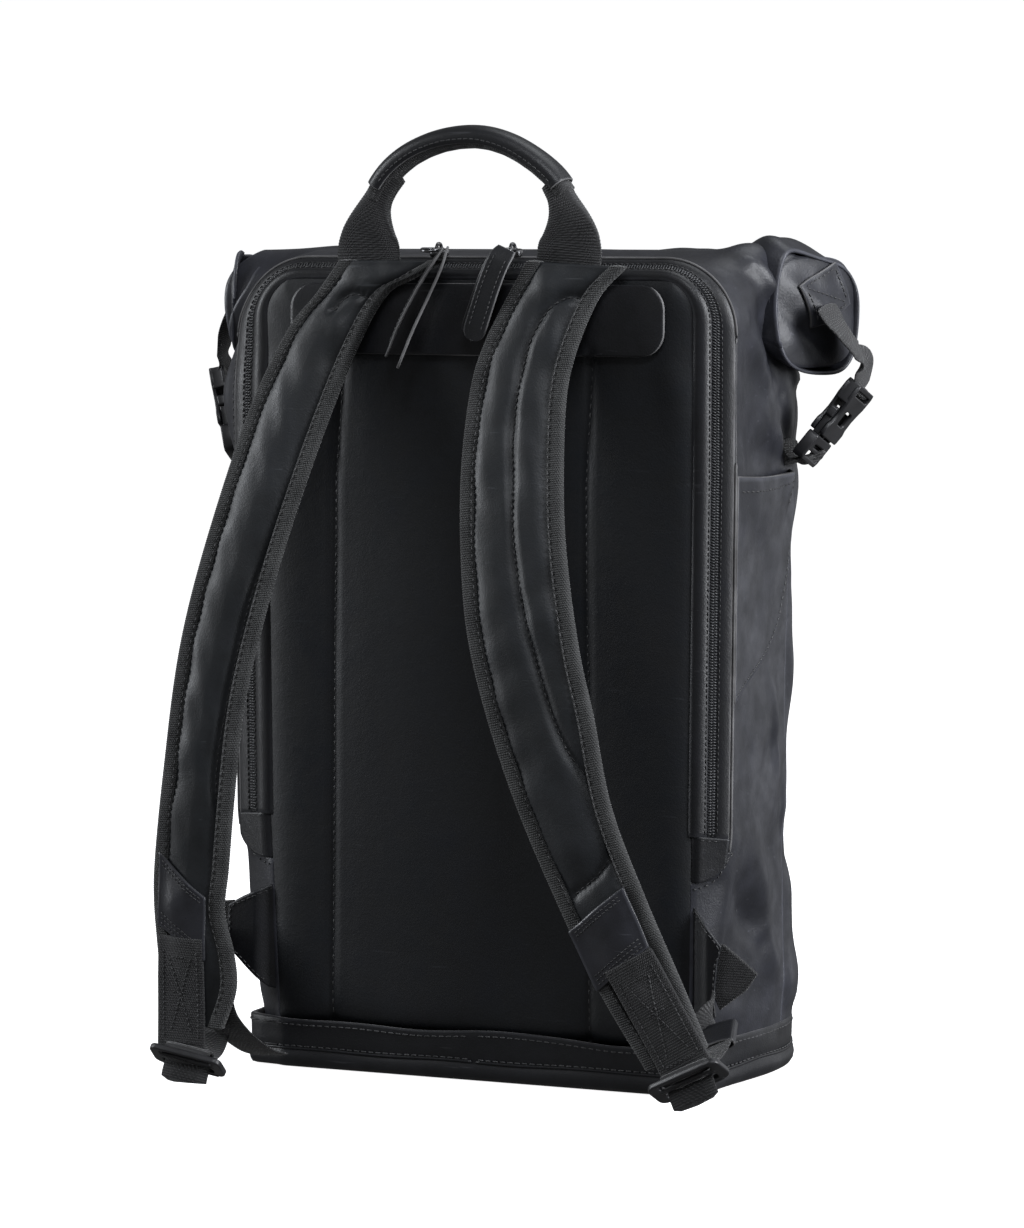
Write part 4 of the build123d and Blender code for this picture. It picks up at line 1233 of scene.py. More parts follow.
def make_top_patch():
    """Reinforcing patch that takes the straps and the handle, with its rows of stitches."""
    z = np.linspace(PATCH_LOW, PATCH_HIGH, 34)
    inside = np.maximum(PATCH_CORNER - (z - PATCH_LOW), PATCH_CORNER - (PATCH_HIGH - z)).clip(0)
    half = PATCH_HALF - PATCH_CORNER + np.sqrt(np.maximum(PATCH_CORNER**2 - inside**2, 0))
    x = half[:, None] * np.linspace(-1, 1, 120)[None]
    grid_z = np.repeat(z[:, None], 120, 1)
    grid = on_panel(x, grid_z, 1.9)
    patch = sheet_mesh("top_patch_leather", grid, 1.9, EDGE, RAW, edge_wear=0.7)
    settle(patch, "laptop_door", "edge_leather", "top_patch")
    cloth(grid)
    loop = np.array(rounded(2 * PATCH_HALF - 6, PATCH_HIGH - PATCH_LOW - 6, PATCH_CORNER - 3,
                            (0, (PATCH_LOW + PATCH_HIGH) / 2), 8))
    loop = np.vstack([loop, loop[:1]])
    dense = np.stack([np.interp(np.linspace(0, len(loop) - 1, 900), np.arange(len(loop)), loop[:, k])
                      for k in range(2)], 1)
    lines = [dense] + [np.column_stack([np.full(60, x), np.linspace(PATCH_LOW + 4, PATCH_HIGH - 4, 60)])
                       for x in (67.0, 84.0, -27.0, -60.0)]
    lines.append(np.column_stack([np.linspace(84, 67, 60), np.linspace(PATCH_LOW + 4, PATCH_HIGH - 4, 60)]))
    runs = []
    for line in lines:
        runs.append(facing_wearer(on_panel(line[:, 0], line[:, 1], 2.0)))
    sew("top_patch_stitches", runs, "laptop_door", "edge_leather", pitch=4.0, length=2.8)


make_top_patch()

# outline of each leather wing: along the panel's edge, then out to the webbing's fold
WING_LEATHER = {
    "right": [(117, 111), (124, 106), (134, 96), (144, 84), (141.5, 74), (140.5, 62), (140.5, 52), (141, 46),
              (134, 43), (117, 43)],
    "left": [(-121, 105), (-130, 101), (-143, 95), (-152, 90), (-153, 78), (-153, 67), (-142, 56), (-130, 45),
             (-121, 42)],
}
WING_WEB = {"right": [(140, 83), (145, 85), (164, 70.5), (158, 62), (143, 50), (138.5, 60)],
            "left": [(-150, 92), (-157, 91), (-163, 87), (-163, 68), (-156, 64), (-149, 66)]}


def patch_of(outline_points, y):
    """Grid that fills a roughly convex outline of (x, z) points, flat at depth y."""
    loop = np.array(outline_points, float)
    centre = loop.mean(0)
    closed = np.vstack([loop, loop[:1]])
    dense = np.vstack([np.linspace(closed[k], closed[k + 1], 14, endpoint=False) for k in range(len(loop))])
    grid = np.array([centre + (dense - centre) * share for share in np.linspace(0.02, 1, 22)])
    return np.stack([grid[..., 0], np.full(grid.shape[:2], float(y)), grid[..., 1]], -1)


def tucked(x):
    """How far a wing sinks in towards the panel at x, so that its inner edge hides behind the padding."""
    return 6.4 * (1 - ease((np.abs(x) - 124) / 13))


def disc_sheet(name, outline_points, y, thick, face, edge):
    """A leather or webbing piece of a wing from its outline, tucked behind the panel, with a cut edge."""
    grid = patch_of(outline_points, y)
    grid[..., 1] += tucked(grid[..., 0])
    rows, cols = grid.shape[:2]
    inner = grid + [0, thick, 0]
    rim = grid[-1] * 0.5 + inner[-1] * 0.5
    outward = rim - rim.mean(0)
    outward[:, 1] = 0
    rim = rim + unit(outward) * thick * EDGE_ROUND
    verts = np.vstack([grid.reshape(-1, 3), inner.reshape(-1, 3), rim, grid[0].mean(0)[None],
                       inner[0].mean(0)[None]])
    count = rows * cols
    last = (rows - 1) * cols
    here = np.arange(cols)
    after = (here + 1) % cols
    faces = [tuple(q) for q in lattice(rows, cols, wrap=True)]
    faces += [tuple(q) for q in lattice(rows, cols, start=count, wrap=True, flip=True)]
    split = len(faces)
    faces += [(last + c, 2 * count + c, 2 * count + n, last + n) for c, n in zip(here, after)]
    faces += [(2 * count + c, count + last + c, count + last + n, 2 * count + n) for c, n in zip(here, after)]
    cap = len(faces)
    top = 2 * count + cols
    faces += [(top, c, n) for c, n in zip(here, after)]
    faces += [(top + 1, count + n, count + c) for c, n in zip(here, after)]
    indices = np.zeros(len(faces), int)
    if edge:
        indices[split:cap] = 1
    flow = verts[:, [0, 2]]
    wear = np.zeros(len(verts))
    wear[last:count] = 0.7
    return finish_mesh(name, verts, faces, [face, edge] if edge else [face], indices, flow, wear)


def make_wing(side):
    """Leather gusset beside the panel's foot, with the folded end of the lower webbing sewn into it."""
    leather_part = disc_sheet(f"wing_leather_{side}", WING_LEATHER[side], PANEL_Y - 2.6, 1.8, EDGE, EDGE)
    web = disc_sheet(f"wing_fold_{side}", WING_WEB[side], PANEL_Y - 1.2, 2.4, WEBBING, None)
    settle(leather_part, "bag", "edge_leather")
    settle(web, "bag", "webbing", f"wing_{side}")
    outline = np.array(WING_LEATHER[side], float)
    centre = outline.mean(0)
    line = smooth_line((centre + (outline - centre) * 0.9)[:-1], 160)
    points = np.column_stack([line[:, 0], PANEL_Y - 2.8 + tucked(line[:, 0]), line[:, 1]])
    sew(f"wing_stitches_{side}", [facing_wearer(points)], "bag", "edge_leather", pitch=3.6, length=2.5,
        radius=0.36)


for side in SIDES:
    make_wing(side)


# ---- shoulder straps -----------------------------------------------------------------------------
# (y, z) of the straps' curve seen from the side, and (x, z) of each strap's left and right edges
STRAP_SIDE = [(-77.5, 448), (-81, 430), (-90, 400), (-108, 340), (-120, 290), (-127, 240), (-132, 170),
              (-131, 110), (-129, 60), (-128, 0)]
STRAP_EDGES = {
    "left": ([(-79, 452), (-92, 433), (-106, 414), (-122, 374), (-138, 310), (-153, 240), (-161, 172),
              (-167, 122), (-168, 100), (-167, 80), (-165, 55), (-163, 32)],
             [(-17, 452), (-34, 443), (-49, 435), (-61, 413), (-76, 366), (-101, 268), (-113, 213), (-119, 158),
              (-123, 120), (-126, 95), (-121, 72), (-120, 52), (-128, 30)]),
    "right": ([(33, 452), (22, 430), (13, 408), (8, 384), (8, 340), (13, 292), (20, 250), (33, 208), (52, 160),
               (75, 110), (98, 65), (124, 25)],
              [(90, 449), (76, 434), (67, 410), (63, 385), (65, 352), (71, 305), (83, 247), (93, 211),
               (104, 165), (122, 120), (142, 76), (158, 40)]),
}
# (x, z) of the channel sewn along each strap
STRAP_CHANNEL = {
    "left": [(-79, 424), (-74, 431), (-67, 433.5), (-60, 430), (-61, 419), (-65, 409), (-71, 396), (-78, 374),
             (-85, 350), (-92, 326), (-102, 294), (-111, 270), (-119, 234), (-125, 202), (-129, 172),
             (-128, 155), (-124, 142)],
    "right": [(73, 428), (66, 432), (57, 432), (47, 424), (39, 404), (36, 368), (39, 336), (45, 294), (58, 247),
              (76, 201), (96, 173), (105, 160), (107, 150), (104, 138), (96, 127), (84, 117)],
}
STRAP_ROWS, STRAP_COLS = 260, 41


def strap_depth(z):
    """Depth of the straps' middle surface at height z."""
    side = np.array(STRAP_SIDE, float)[::-1]
    smooth = smooth_line(side, 160)
    return np.interp(z, smooth[:, 1], smooth[:, 0])


class Strap:
    """Middle surface of one shoulder strap: f runs across from -1 to 1 and rows run from top to foot."""

    def __init__(self, side):
        self.side = side
        left, right = (smooth_line(edge, STRAP_ROWS) for edge in STRAP_EDGES[side])
        self.left = np.column_stack([left[:, 0], strap_depth(left[:, 1]), left[:, 1]])
        self.right = np.column_stack([right[:, 0], strap_depth(right[:, 1]), right[:, 1]])
        middle = (self.left + self.right) / 2
        across = unit(self.right - self.left)
        tangent = unit(np.gradient(middle, axis=0))
        normal = unit(np.cross(across, tangent))
        self.normal = normal * np.where(normal[:, 1:2] > 0, -1, 1)
        self.across = across
        self.half = np.linalg.norm(self.right - self.left, axis=1) / 2
        self.steps = lengths(middle)
        self.middle = middle
        self.channel = smooth_line(STRAP_CHANNEL[side], 220)

    def at(self, f, lift):
        """Points at share f across, lifted along the normal."""
        base = self.middle[:, None] + self.across[:, None] * (self.half[:, None] * f)[..., None]
        lift = np.broadcast_to(np.asarray(lift, float), base.shape[:2])
        return base + self.normal[:, None] * lift[..., None]

    def rise(self, f, points):
        """Height of the padded face over the middle surface."""
        edge = (1 - np.abs(f)) * self.half[:, None]
        fade = ease((self.steps[-1] - self.steps) / 60)[:, None]
        top = ease(self.steps / 18)[:, None]
        crown = 1 - np.exp(-np.clip(edge - 7.0, 0, None) / 6.5)
        height = 1.9 + (3.6 * fade + 0.2) * (0.35 + 0.65 * top) * crown
        flat = points[..., [0, 2]]
        gap = np.full(flat.shape[:2], 1e9)
        for place in self.channel[::2]:
            gap = np.minimum(gap, np.hypot(flat[..., 0] - place[0], flat[..., 1] - place[1]))
        height = height - 2.3 * np.exp(-((gap / 2.4) ** 2)) - 1.1 * np.exp(-((gap / 8) ** 2))
        place = np.stack([flat[..., 0], flat[..., 1] * 0.8], -1)
        return height + (0.35 * waves(place, 34, 61) + 0.25 * waves(place, 15, 62)) * fade


def surface_at(strap, flat, extra):
    """Points on the strap's face above (x, z) positions, with their normals."""
    face = strap.face
    cloud = face[..., [0, 2]].reshape(-1, 2)
    points, normals = [], []
    for place in flat:
        gap = np.hypot(*(cloud - place).T)
        near = np.argsort(gap)[:4]
        weight = 1 / (gap[near] + 0.05)
        weight /= weight.sum()
        y = (face[..., 1].reshape(-1)[near] * weight).sum()
        normal = strap.normal[near[0] // STRAP_COLS]
        points.append(np.array([place[0], y, place[1]]) + normal * extra)
        normals.append(normal)
    return np.array(points), np.array(normals)


BINDING_REACH = 8.5


def binding_mesh(strap, edge):
    """Ribbed tape folded over one edge of the pad."""
    rows = np.arange(STRAP_ROWS)
    fine = np.linspace(0, STRAP_ROWS - 1, 1700)
    middle, across, normal = (picked(fine, rows, values)
                              for values in (strap.middle, strap.across, strap.normal))
    half = np.interp(fine, rows, strap.half)
    steps = np.interp(fine, rows, strap.steps)
    reach = BINDING_REACH
    # (inset from the edge, lift) from the face round the edge to the underside
    profile = [(reach, 1.6), (reach - 0.4, 2.7), (reach * 0.6, 3.1), (reach * 0.3, 3.2), (1.2, 3.0), (0.0, 2.0),
               (-0.55, 0.3), (-0.4, -1.4), (0.4, -2.8), (1.6, -3.6), (reach * 0.5, -4.0), (reach, -3.8),
               (reach + 0.1, -2.4)]
    rib = 0.10 * np.sin(steps / BINDING_RIB * TAU)
    rings = []
    for inset, lift in profile:
        place = middle + across * (edge * (half - inset))[:, None] + normal * (lift * (1 + rib * 0.35))[:, None]
        rings.append(place + across * (edge * rib * max(0.0, 1 - inset / 3))[:, None])
    which = "outer" if edge * SIDES[strap.side] > 0 else "inner"
    obj = loft_mesh(f"binding_{strap.side}_{which}", np.array(rings).transpose(1, 0, 2), BINDING)
    lay_weave(obj, [inset for inset, _ in profile], steps)
    return obj


BADGE_QUAD = {"left": [(-163.5, 127), (-135, 103), (-136, 68), (-165, 87)],
              "right": [(81, 97), (113, 123), (127, 92), (97, 66)]}
FOOT = {"left": ((-151, 80), (-152, 20), 28.0), "right": ((115.5, 84), (146, 31), 29.0)}


def quad_grid(quad, rows, cols):
    """(x, z) grid over a four-cornered patch given as top left, top right, bottom right, bottom left."""
    a, b, c, d = (np.array(p, float) for p in quad)
    u, v = np.meshgrid(np.linspace(0, 1, cols), np.linspace(0, 1, rows))
    u, v = u[..., None], v[..., None]
    return (a * (1 - u) + b * u) * (1 - v) + (d * (1 - u) + c * u) * v


def draped_sheet(strap, name, flat, lift, thick, face, edge):
    """A sheet that lies on the strap, shaped by an (x, z) grid, and the grid of its points."""
    rows, cols = flat.shape[:2]
    points, _ = surface_at(strap, flat.reshape(-1, 2), 0.0)
    middle = strap.normal[np.argmin(np.abs(strap.middle[:, 2] - flat[..., 1].mean()))]
    depth = points[:, 1].reshape(rows, cols)
    for _ in range(14):
        padded = np.pad(depth, 1, mode="edge")
        around = padded[:-2, 1:-1] + padded[2:, 1:-1] + padded[1:-1, :-2] + padded[1:-1, 2:]
        depth = np.minimum(depth, around / 4)
    grid = np.stack([flat[..., 0], depth - lift, flat[..., 1]], -1)
    return sheet_mesh(name, grid, thick, face, edge,
                      normals=np.broadcast_to(middle, grid.shape).copy(), edge_wear=0.7), grid


def grid_line(grid, start, end):
    """Points across a grid between two (row share, column share) places."""
    rows, cols = grid.shape[:2]
    share = np.linspace(0, 1, 60)
    r = (start[0] + (end[0] - start[0]) * share) * (rows - 1)
    c = (start[1] + (end[1] - start[1]) * share) * (cols - 1)
    r0, c0 = np.minimum(r.astype(int), rows - 2), np.minimum(c.astype(int), cols - 2)
    fr, fc = (r - r0)[:, None], (c - c0)[:, None]
    return ((grid[r0, c0] * (1 - fr) + grid[r0 + 1, c0] * fr) * (1 - fc)
            + (grid[r0, c0 + 1] * (1 - fr) + grid[r0 + 1, c0 + 1] * fr) * fc)


def make_strap(side):
    """Shoulder strap: pad, bindings, leather badge and the webbing sewn to its foot."""
    strap = Strap(side)
    body = f"strap_{side}"
    f = np.repeat(np.linspace(-1, 1, STRAP_COLS)[None], STRAP_ROWS, 0)
    inside = f * (1 - 1.2 / strap.half[:, None])
    strap.face = strap.at(inside, strap.rise(f, strap.at(inside, 0)))
    fade = ease((strap.steps[-1] - strap.steps) / 60)[:, None]
    under = strap.at(inside, -3.4 - 1.2 * (1 - np.abs(f) ** 4) * fade)
    pad = pad_mesh(f"strap_pad_{side}", strap.face, under, STRAP_LIT_LEATHER)
    settle(pad, body, "strap_leather", body)
    for edge in (-1, 1):
        settle(binding_mesh(strap, edge), body, "webbing")
    runs = [surface_at(strap, strap.channel, 0.15)]
    for edge in (-1, 1):
        line = strap.at((edge * (1 - 7.2 / strap.half))[:, None], 3.25)[:, 0]
        runs.append((line[6:-4], strap.normal[6:-4]))
    sew(f"strap_stitches_{side}", runs, body, "strap_leather", pitch=4.2, length=2.9, radius=0.38)

    flat = quad_grid(BADGE_QUAD[side], 30, 26)
    badge, grid = draped_sheet(strap, f"badge_{side}", flat, 1.6, 1.6, BADGE, EDGE)
    settle(badge, body, "badge_leather", f"strap_badge_{side}")
    cloth(grid)
    runs = []
    for row in (0.07, 0.13, 0.80, 0.87, 0.94):
        runs.append(facing_wearer(grid_line(grid, (row, 0.06), (row, 0.94)) + [0, -0.15, 0]))
    sew(f"badge_stitches_{side}", runs, body, "badge_leather", pitch=2.7, length=1.9, radius=0.33)

    (x0, z0), (x1, z1), width = FOOT[side]
    down = unit(np.array([x1 - x0, z1 - z0], float))
    cross = np.array([-down[1], down[0]])
    length = math.hypot(x1 - x0, z1 - z0) + 8
    v, u = np.meshgrid(np.linspace(0, length, 44), np.linspace(-width / 2, width / 2, 20), indexing="ij")
    flat = np.array([x0, z0]) + down * v[..., None] + cross * u[..., None]
    strip, grid = draped_sheet(strap, f"strap_web_{side}", flat, 2.0, 2.0, WEBBING, None)
    settle(strip, body, "webbing", f"strap_webbing_{side}")
    cloth(grid)
    box = [((0.10, 0.12), (0.86, 0.12)), ((0.10, 0.88), (0.86, 0.88)), ((0.86, 0.12), (0.86, 0.88)),
           ((0.16, 0.25), (0.80, 0.75)), ((0.16, 0.75), (0.80, 0.25)), ((0.45, 0.30), (0.45, 0.70)),
           ((0.16, 0.3), (0.16, 0.7))]
    runs = [facing_wearer(grid_line(grid, start, end) + [0, -0.15, 0]) for start, end in box]
    sew(f"strap_web_stitches_{side}", runs, body, "webbing", pitch=2.9, length=2.0, radius=0.34)


for side in SIDES:
    make_strap(side)


# ---- side pockets --------------------------------------------------------------------------------
# (y, z) of the pocket's lower edge
POCKET_LINE = [(-55.5, 214), (-40, 222), (-24, 230), (-9, 237), (2, 245), (10, 255), (19, 275), (27, 297)]


def make_pocket(side):
    """Flat leather pocket on the side: open along its top, its lower edge curving up to the side seam."""
    sign = SIDES[side]
    lower = smooth_line(POCKET_LINE, 60)
    columns = np.linspace(-55.0, 28.2, 58)
    rows = 46
    low = np.interp(columns, lower[:, 0], lower[:, 1])
    high = 336.5 - 1.6 * np.sin((columns + 55) / 83 * math.pi)
    share = np.linspace(0, 1, rows)[:, None]
    z = high[None] + (low - high)[None] * share
    y = np.repeat(columns[None], rows, 0)
    gap = 1.9 + 5.0 * (1 - ease(share / 0.42)) * ease((y + 54) / 22) * ease((29 - y) / 16)
    gap = gap + 0.5 * waves(np.stack([y, z], -1), 30, 71) * ease((y + 52) / 10)
    x = sign * (side_x(y, z) + side_relief(side, y, z) * 0.55 + gap)
    grid = np.stack([x, y, z], -1)
    normals = grid_normals(grid)
    normals *= np.where(normals[..., :1] * sign > 0, 1, -1)
    pocket = sheet_mesh(f"pocket_leather_{side}", grid, 1.8, SHELL, RAW, normals=normals, edge_wear=0.8)
    settle(pocket, "bag", "shell_leather", f"side_pocket_{side}")
    cloth(grid)
    runs = [(grid[-2, 1:-1], normals[-2, 1:-1])]
    for place in (18.0, 21.5):
        pick = int(np.argmin(np.abs(columns - place)))
        runs.append((grid[1:16, pick], normals[1:16, pick]))
    runs.append((grid[3, 2:-2], normals[3, 2:-2]))
    sew(f"pocket_stitches_{side}", runs, "bag", "shell_leather", pitch=4.2, length=2.9)


for side in SIDES:
    make_pocket(side)


def seam_rows():
    """Stitch row beside the compartment's seam, curving in under the ends of the zip."""
    row = 4
    normals = -grid_normals(shell_grid)
    keep = shell_grid[row, :, 2] > SEAM_CURVE_LOW + SEAM_CURVE
    runs = [(shell_grid[row][keep], normals[row][keep])]
    front = shell_grid[:row + 6].reshape(-1, 3)
    front_normals = normals[:row + 6].reshape(-1, 3)
    for sign in SIDES.values():
        share = np.sin(np.linspace(0.02, 0.98, 40) * math.pi / 2)
        z = SEAM_CURVE_LOW + SEAM_CURVE * (1 - np.sqrt(1 - share**2)) - 3.4 * (1 - share**6)
        x = sign * (half_width(z) - (1 - share) * bevel(z) + 0.4 * share)
        near = [int(np.argmin(np.hypot(front[:, 0] - a, front[:, 2] - b))) for a, b in zip(x, z)]
        line = np.column_stack([x, front[near, 1], z])
        runs.append((line, front_normals[near]))
    sew("seam_stitches", runs, "bag", "shell_leather", pitch=4.4, length=3.0)


seam_rows()


LEFT_SHIFTED = ("shell_wrap", "front_wall", "base_", "back_pad", "panel_stitches", "gusset_", "zip_tape_",
                "zip_coil_", "zip_stitches_", "seam_", "zip_end_", "pocket_")


def spread_left():
    """The bag slumps a little to its left: that side stands further out than the right."""
    cad = set(frame["nodes"].values())
    for obj in bpy.data.objects:
        if obj in cad or not obj.name.startswith(LEFT_SHIFTED):
            continue
        points = np.empty(3 * len(obj.data.vertices), np.float32)
        obj.data.vertices.foreach_get("co", points)
        points = points.reshape(-1, 3)
        x, z = points[:, 0] / MM, points[:, 2] / MM
        low, high = np.clip((z - BAND_TOP) / (MID_Z - BAND_TOP), 0, 1), ease((z - 375) / 70)
        seam = 11.5 - 1.5 * low - 6.0 * high
        rim = -1.5 + 4.7 * low - 1.5 * high
        edge = 125 - 30 * ease((z - 400) / 50)
        out = -x
        past = np.clip((out - edge) / (half_width(z) + 0.5 - edge), 0, 1)
        reach = rim * np.clip((out - edge + 18) / 18, 0, 1) + (seam - rim) * past
        points[:, 0] -= reach * MM
        obj.data.vertices.foreach_set("co", points.ravel())
        obj.data.update()


spread_left()


# ---- ladder locks and lower straps ---------------------------------------------------------------
LOCK_Y = -135.2
# each lock's centre, and how far it leans from level in degrees
LOCKS = {"left": ((-146.0, LOCK_Y, 12.4), -9.0), "right": ((150.3, LOCK_Y, 22.4), 26.0)}
LOCK_TIP = math.radians(52)


def turned(angle):
    """Across and up vectors in the plane that faces the wearer, turned by an angle in degrees."""
    a = math.radians(angle)
    return np.array([math.cos(a), 0, math.sin(a)]), np.array([-math.sin(a), 0, math.cos(a)])


def make_lock(side):
    """Ladder lock at a strap's foot."""
    centre, lean = LOCKS[side]
    across, up = turned(lean)
    up = up * math.cos(LOCK_TIP) + np.array([0, -1.0, 0]) * math.sin(LOCK_TIP)
    outer = rounded(44, 17.5, 4.5)
    slots = [rounded(31.5, 3.6, 1.2, (0, 4.6))[::-1], rounded(31.5, 4.2, 1.2, (0, -3.2))[::-1]]
    plate = moulded(f"lock_plate_{side}", [outer] + slots, 3.4, centre, across, up, PLASTIC, radius=0.8)
    face = np.cross(across, up)
    wide = np.array(centre) + across * np.linspace(-17, 17, 20)[:, None]
    lip = tube_mesh(f"lock_lip_{side}", wide - up * 8.0 + face * 0.6, 1.5, PLASTIC)
    bar = tube_mesh(f"lock_bar_{side}", wide + up * 0.9 + face * 0.4, 1.5, PLASTIC)
    lock = joined(f"ladder_lock_body_{side}", [plate, lip, bar])
    settle(lock, f"ladder_{side}", "buckle_plastic", f"ladder_lock_{side}")


for side in SIDES:
    make_lock(side)

# middle lines of the lower webbing, from the wing to the ladder lock
ADJUSTER = {
    "right": [(138, -70, 53), (140, -76, 47), (145, -88, 37), (148, -104, 30), (148.5, -118, 26),
              (150, -131, 26), (151.5, -136, 23)],
    "left": [(-156, -75.5, 76), (-155, -82, 58), (-152, -94, 40), (-149, -107, 26), (-147, -119, 17),
             (-146.5, -130, 14), (-146, -136, 12)],
}
ADJUSTER_START = {"right": (-0.39, 0.90, 0.10), "left": (0.05, 0.0, 1.0)}


def adjuster_frame(side):
    """Middle line of a lower strap, its tangents, and the directions across it and out of it."""
    line = smooth_line(ADJUSTER[side], 220)
    across, _ = turned(LOCKS[side][1])
    share = ease(np.linspace(0, 1, len(line)) / (0.5 if side == "right" else 0.75))[:, None]
    return line, *guided(line, unit(np.array(ADJUSTER_START[side])), across, share)


def make_adjuster(side):
    """Lower strap in two halves, one between the bag and the door, the other between the door and the shoulder
    strap; neither half is put on a body.
    """
    line, _, guide, normal = adjuster_frame(side)
    across, up = turned(LOCKS[side][1])
    steps = lengths(line)
    width = 22 + 7 * ease(steps / 40)
    rings = band_rings(line, guide, normal, width, ribbed(steps))
    middle = len(line) // 2
    for name, part, pair in ((f"adjuster_wing_half_{side}", rings[:middle + 1], ("bag", "laptop_door")),
                             (f"adjuster_lock_half_{side}", rings[middle:], ("laptop_door", f"strap_{side}"))):
        obj = webbing_mesh(name, part, steps[:len(part)], 14.5)
        if pair[0] == "bag":
            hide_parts(f"adjuster_webbing_{side}")
        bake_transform(obj)
    tail_top = np.array(LOCKS[side][0]) + [0, 1.2, 0] - up
    tail = np.array([tail_top - up * t + np.array([0, -3.0 * math.sin(min(t, 9) / 9 * 1.5), 0])
                     for t in np.linspace(0, 10.5, 24)])
    strip = band_mesh(f"adjuster_tail_{side}", tail, (0, -1, 0), 28, 1.7, rib=0.1)
    settle(strip, f"ladder_{side}", "webbing")
    loop_line = np.array([np.array(LOCKS[side][0]) + up * (4.6 + 2.6 * math.cos(a)) + [0, 2.9 * math.sin(a), 0]
                          for a in np.linspace(-0.4 * math.pi, 1.35 * math.pi, 40)])
    loop = band_mesh(f"strap_loop_{side}", loop_line, across, 1.6, 28)
    settle(loop, f"strap_{side}", "webbing")


for side in SIDES:
    make_adjuster(side)


def make_keeper(side):
    """Small leather loop round the lower strap, beside the bag's lower corner."""
    line, tangents, guide, normal = adjuster_frame(side)
    place = 74 if side == "right" else 50
    centre, tangent, across, out = line[place], tangents[place], guide[place], normal[place]
    wide, tall = oval(np.linspace(0, TAU, 49), 4.0, 4.0)
    ring = centre + across * (wide * 14.6)[:, None] + out * (tall * 3.4)[:, None]
    grid = ring[None] + tangent * np.linspace(-8.5, 8.5, 12)[:, None, None]
    normals = unit(grid - grid.mean(1, keepdims=True))
    keeper = sheet_mesh(f"keeper_leather_{side}", grid, 1.4, EDGE, RAW, normals=normals, edge_wear=0.7)
    settle(keeper, "bag", "edge_leather", f"keeper_{side}")
    cloth(grid)


for side in SIDES:
    make_keeper(side)

# the free end of the left strap's webbing, which hangs behind it
TAIL_LINE = [(-134, -124, 44), (-132.5, -121, 35), (-130, -111, 25), (-127, -100, 17), (-124.5, -90, 11.5),
             (-122, -80, 8.5)]
tail = band_mesh("strap_tail_left", smooth_line(TAIL_LINE, 90), (0, 0.5, 1), 24, 1.7, rib=0.08)
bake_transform(tail)


# ---- handle --------------------------------------------------------------------------------------
HANDLE_Y = -70.5
LEGS = {"left": [(-64.5, 448), (-65, 456), (-64.5, 468), (-61.5, 480), (-56, 491), (-50, 499)],
        "right": [(54, 448), (54.5, 456), (55, 466), (53.5, 476), (50, 486), (46, 494)]}
GRIP = [(-60, 486), (-56, 494), (-48, 503), (-37, 510.5), (-23, 516), (-8, 518.5), (6, 518), (20, 514),
        (33, 507), (44, 498.5), (52, 489)]


def leg_mesh(name, points):
    """Webbing leg: flat and wide where it leaves the bag, folding up to a narrow neck."""
    line = smooth_line(points, 150)
    line = np.column_stack([line[:, 0], np.full(len(line), HANDLE_Y), line[:, 1]])
    _, side, normal = frames_along(line, (0, -1, 0))
    steps = lengths(line)
    fold = ease((steps - 8) / 34)
    width = 37.5 - 22.5 * fold
    thick = 2.6 + 11.5 * fold
    rings = []
    angle = np.arange(40) / 40 * TAU
    for k in range(len(line)):
        power = 5.0 - 2.6 * fold[k]
        u, v = oval(angle, power, power)
        groove = 1 - 0.42 * fold[k] * np.exp(-((np.cos(angle) / 0.34) ** 2)) * (np.sin(angle) < 0)
        ridge = 1 + 0.10 * fold[k] * np.cos(3 * angle)
        rib = 0.10 * math.sin(steps[k] / WEB_RIB * TAU)
        rings.append(line[k] + side[k] * (u * (width[k] / 2 + rib))[:, None]
                     + normal[k] * (v * groove * ridge * (thick[k] / 2 + rib))[:, None])
    obj = loft_mesh(name, rings, WEBBING)
    lay_weave(obj, angle / TAU * 60, steps)
    return obj


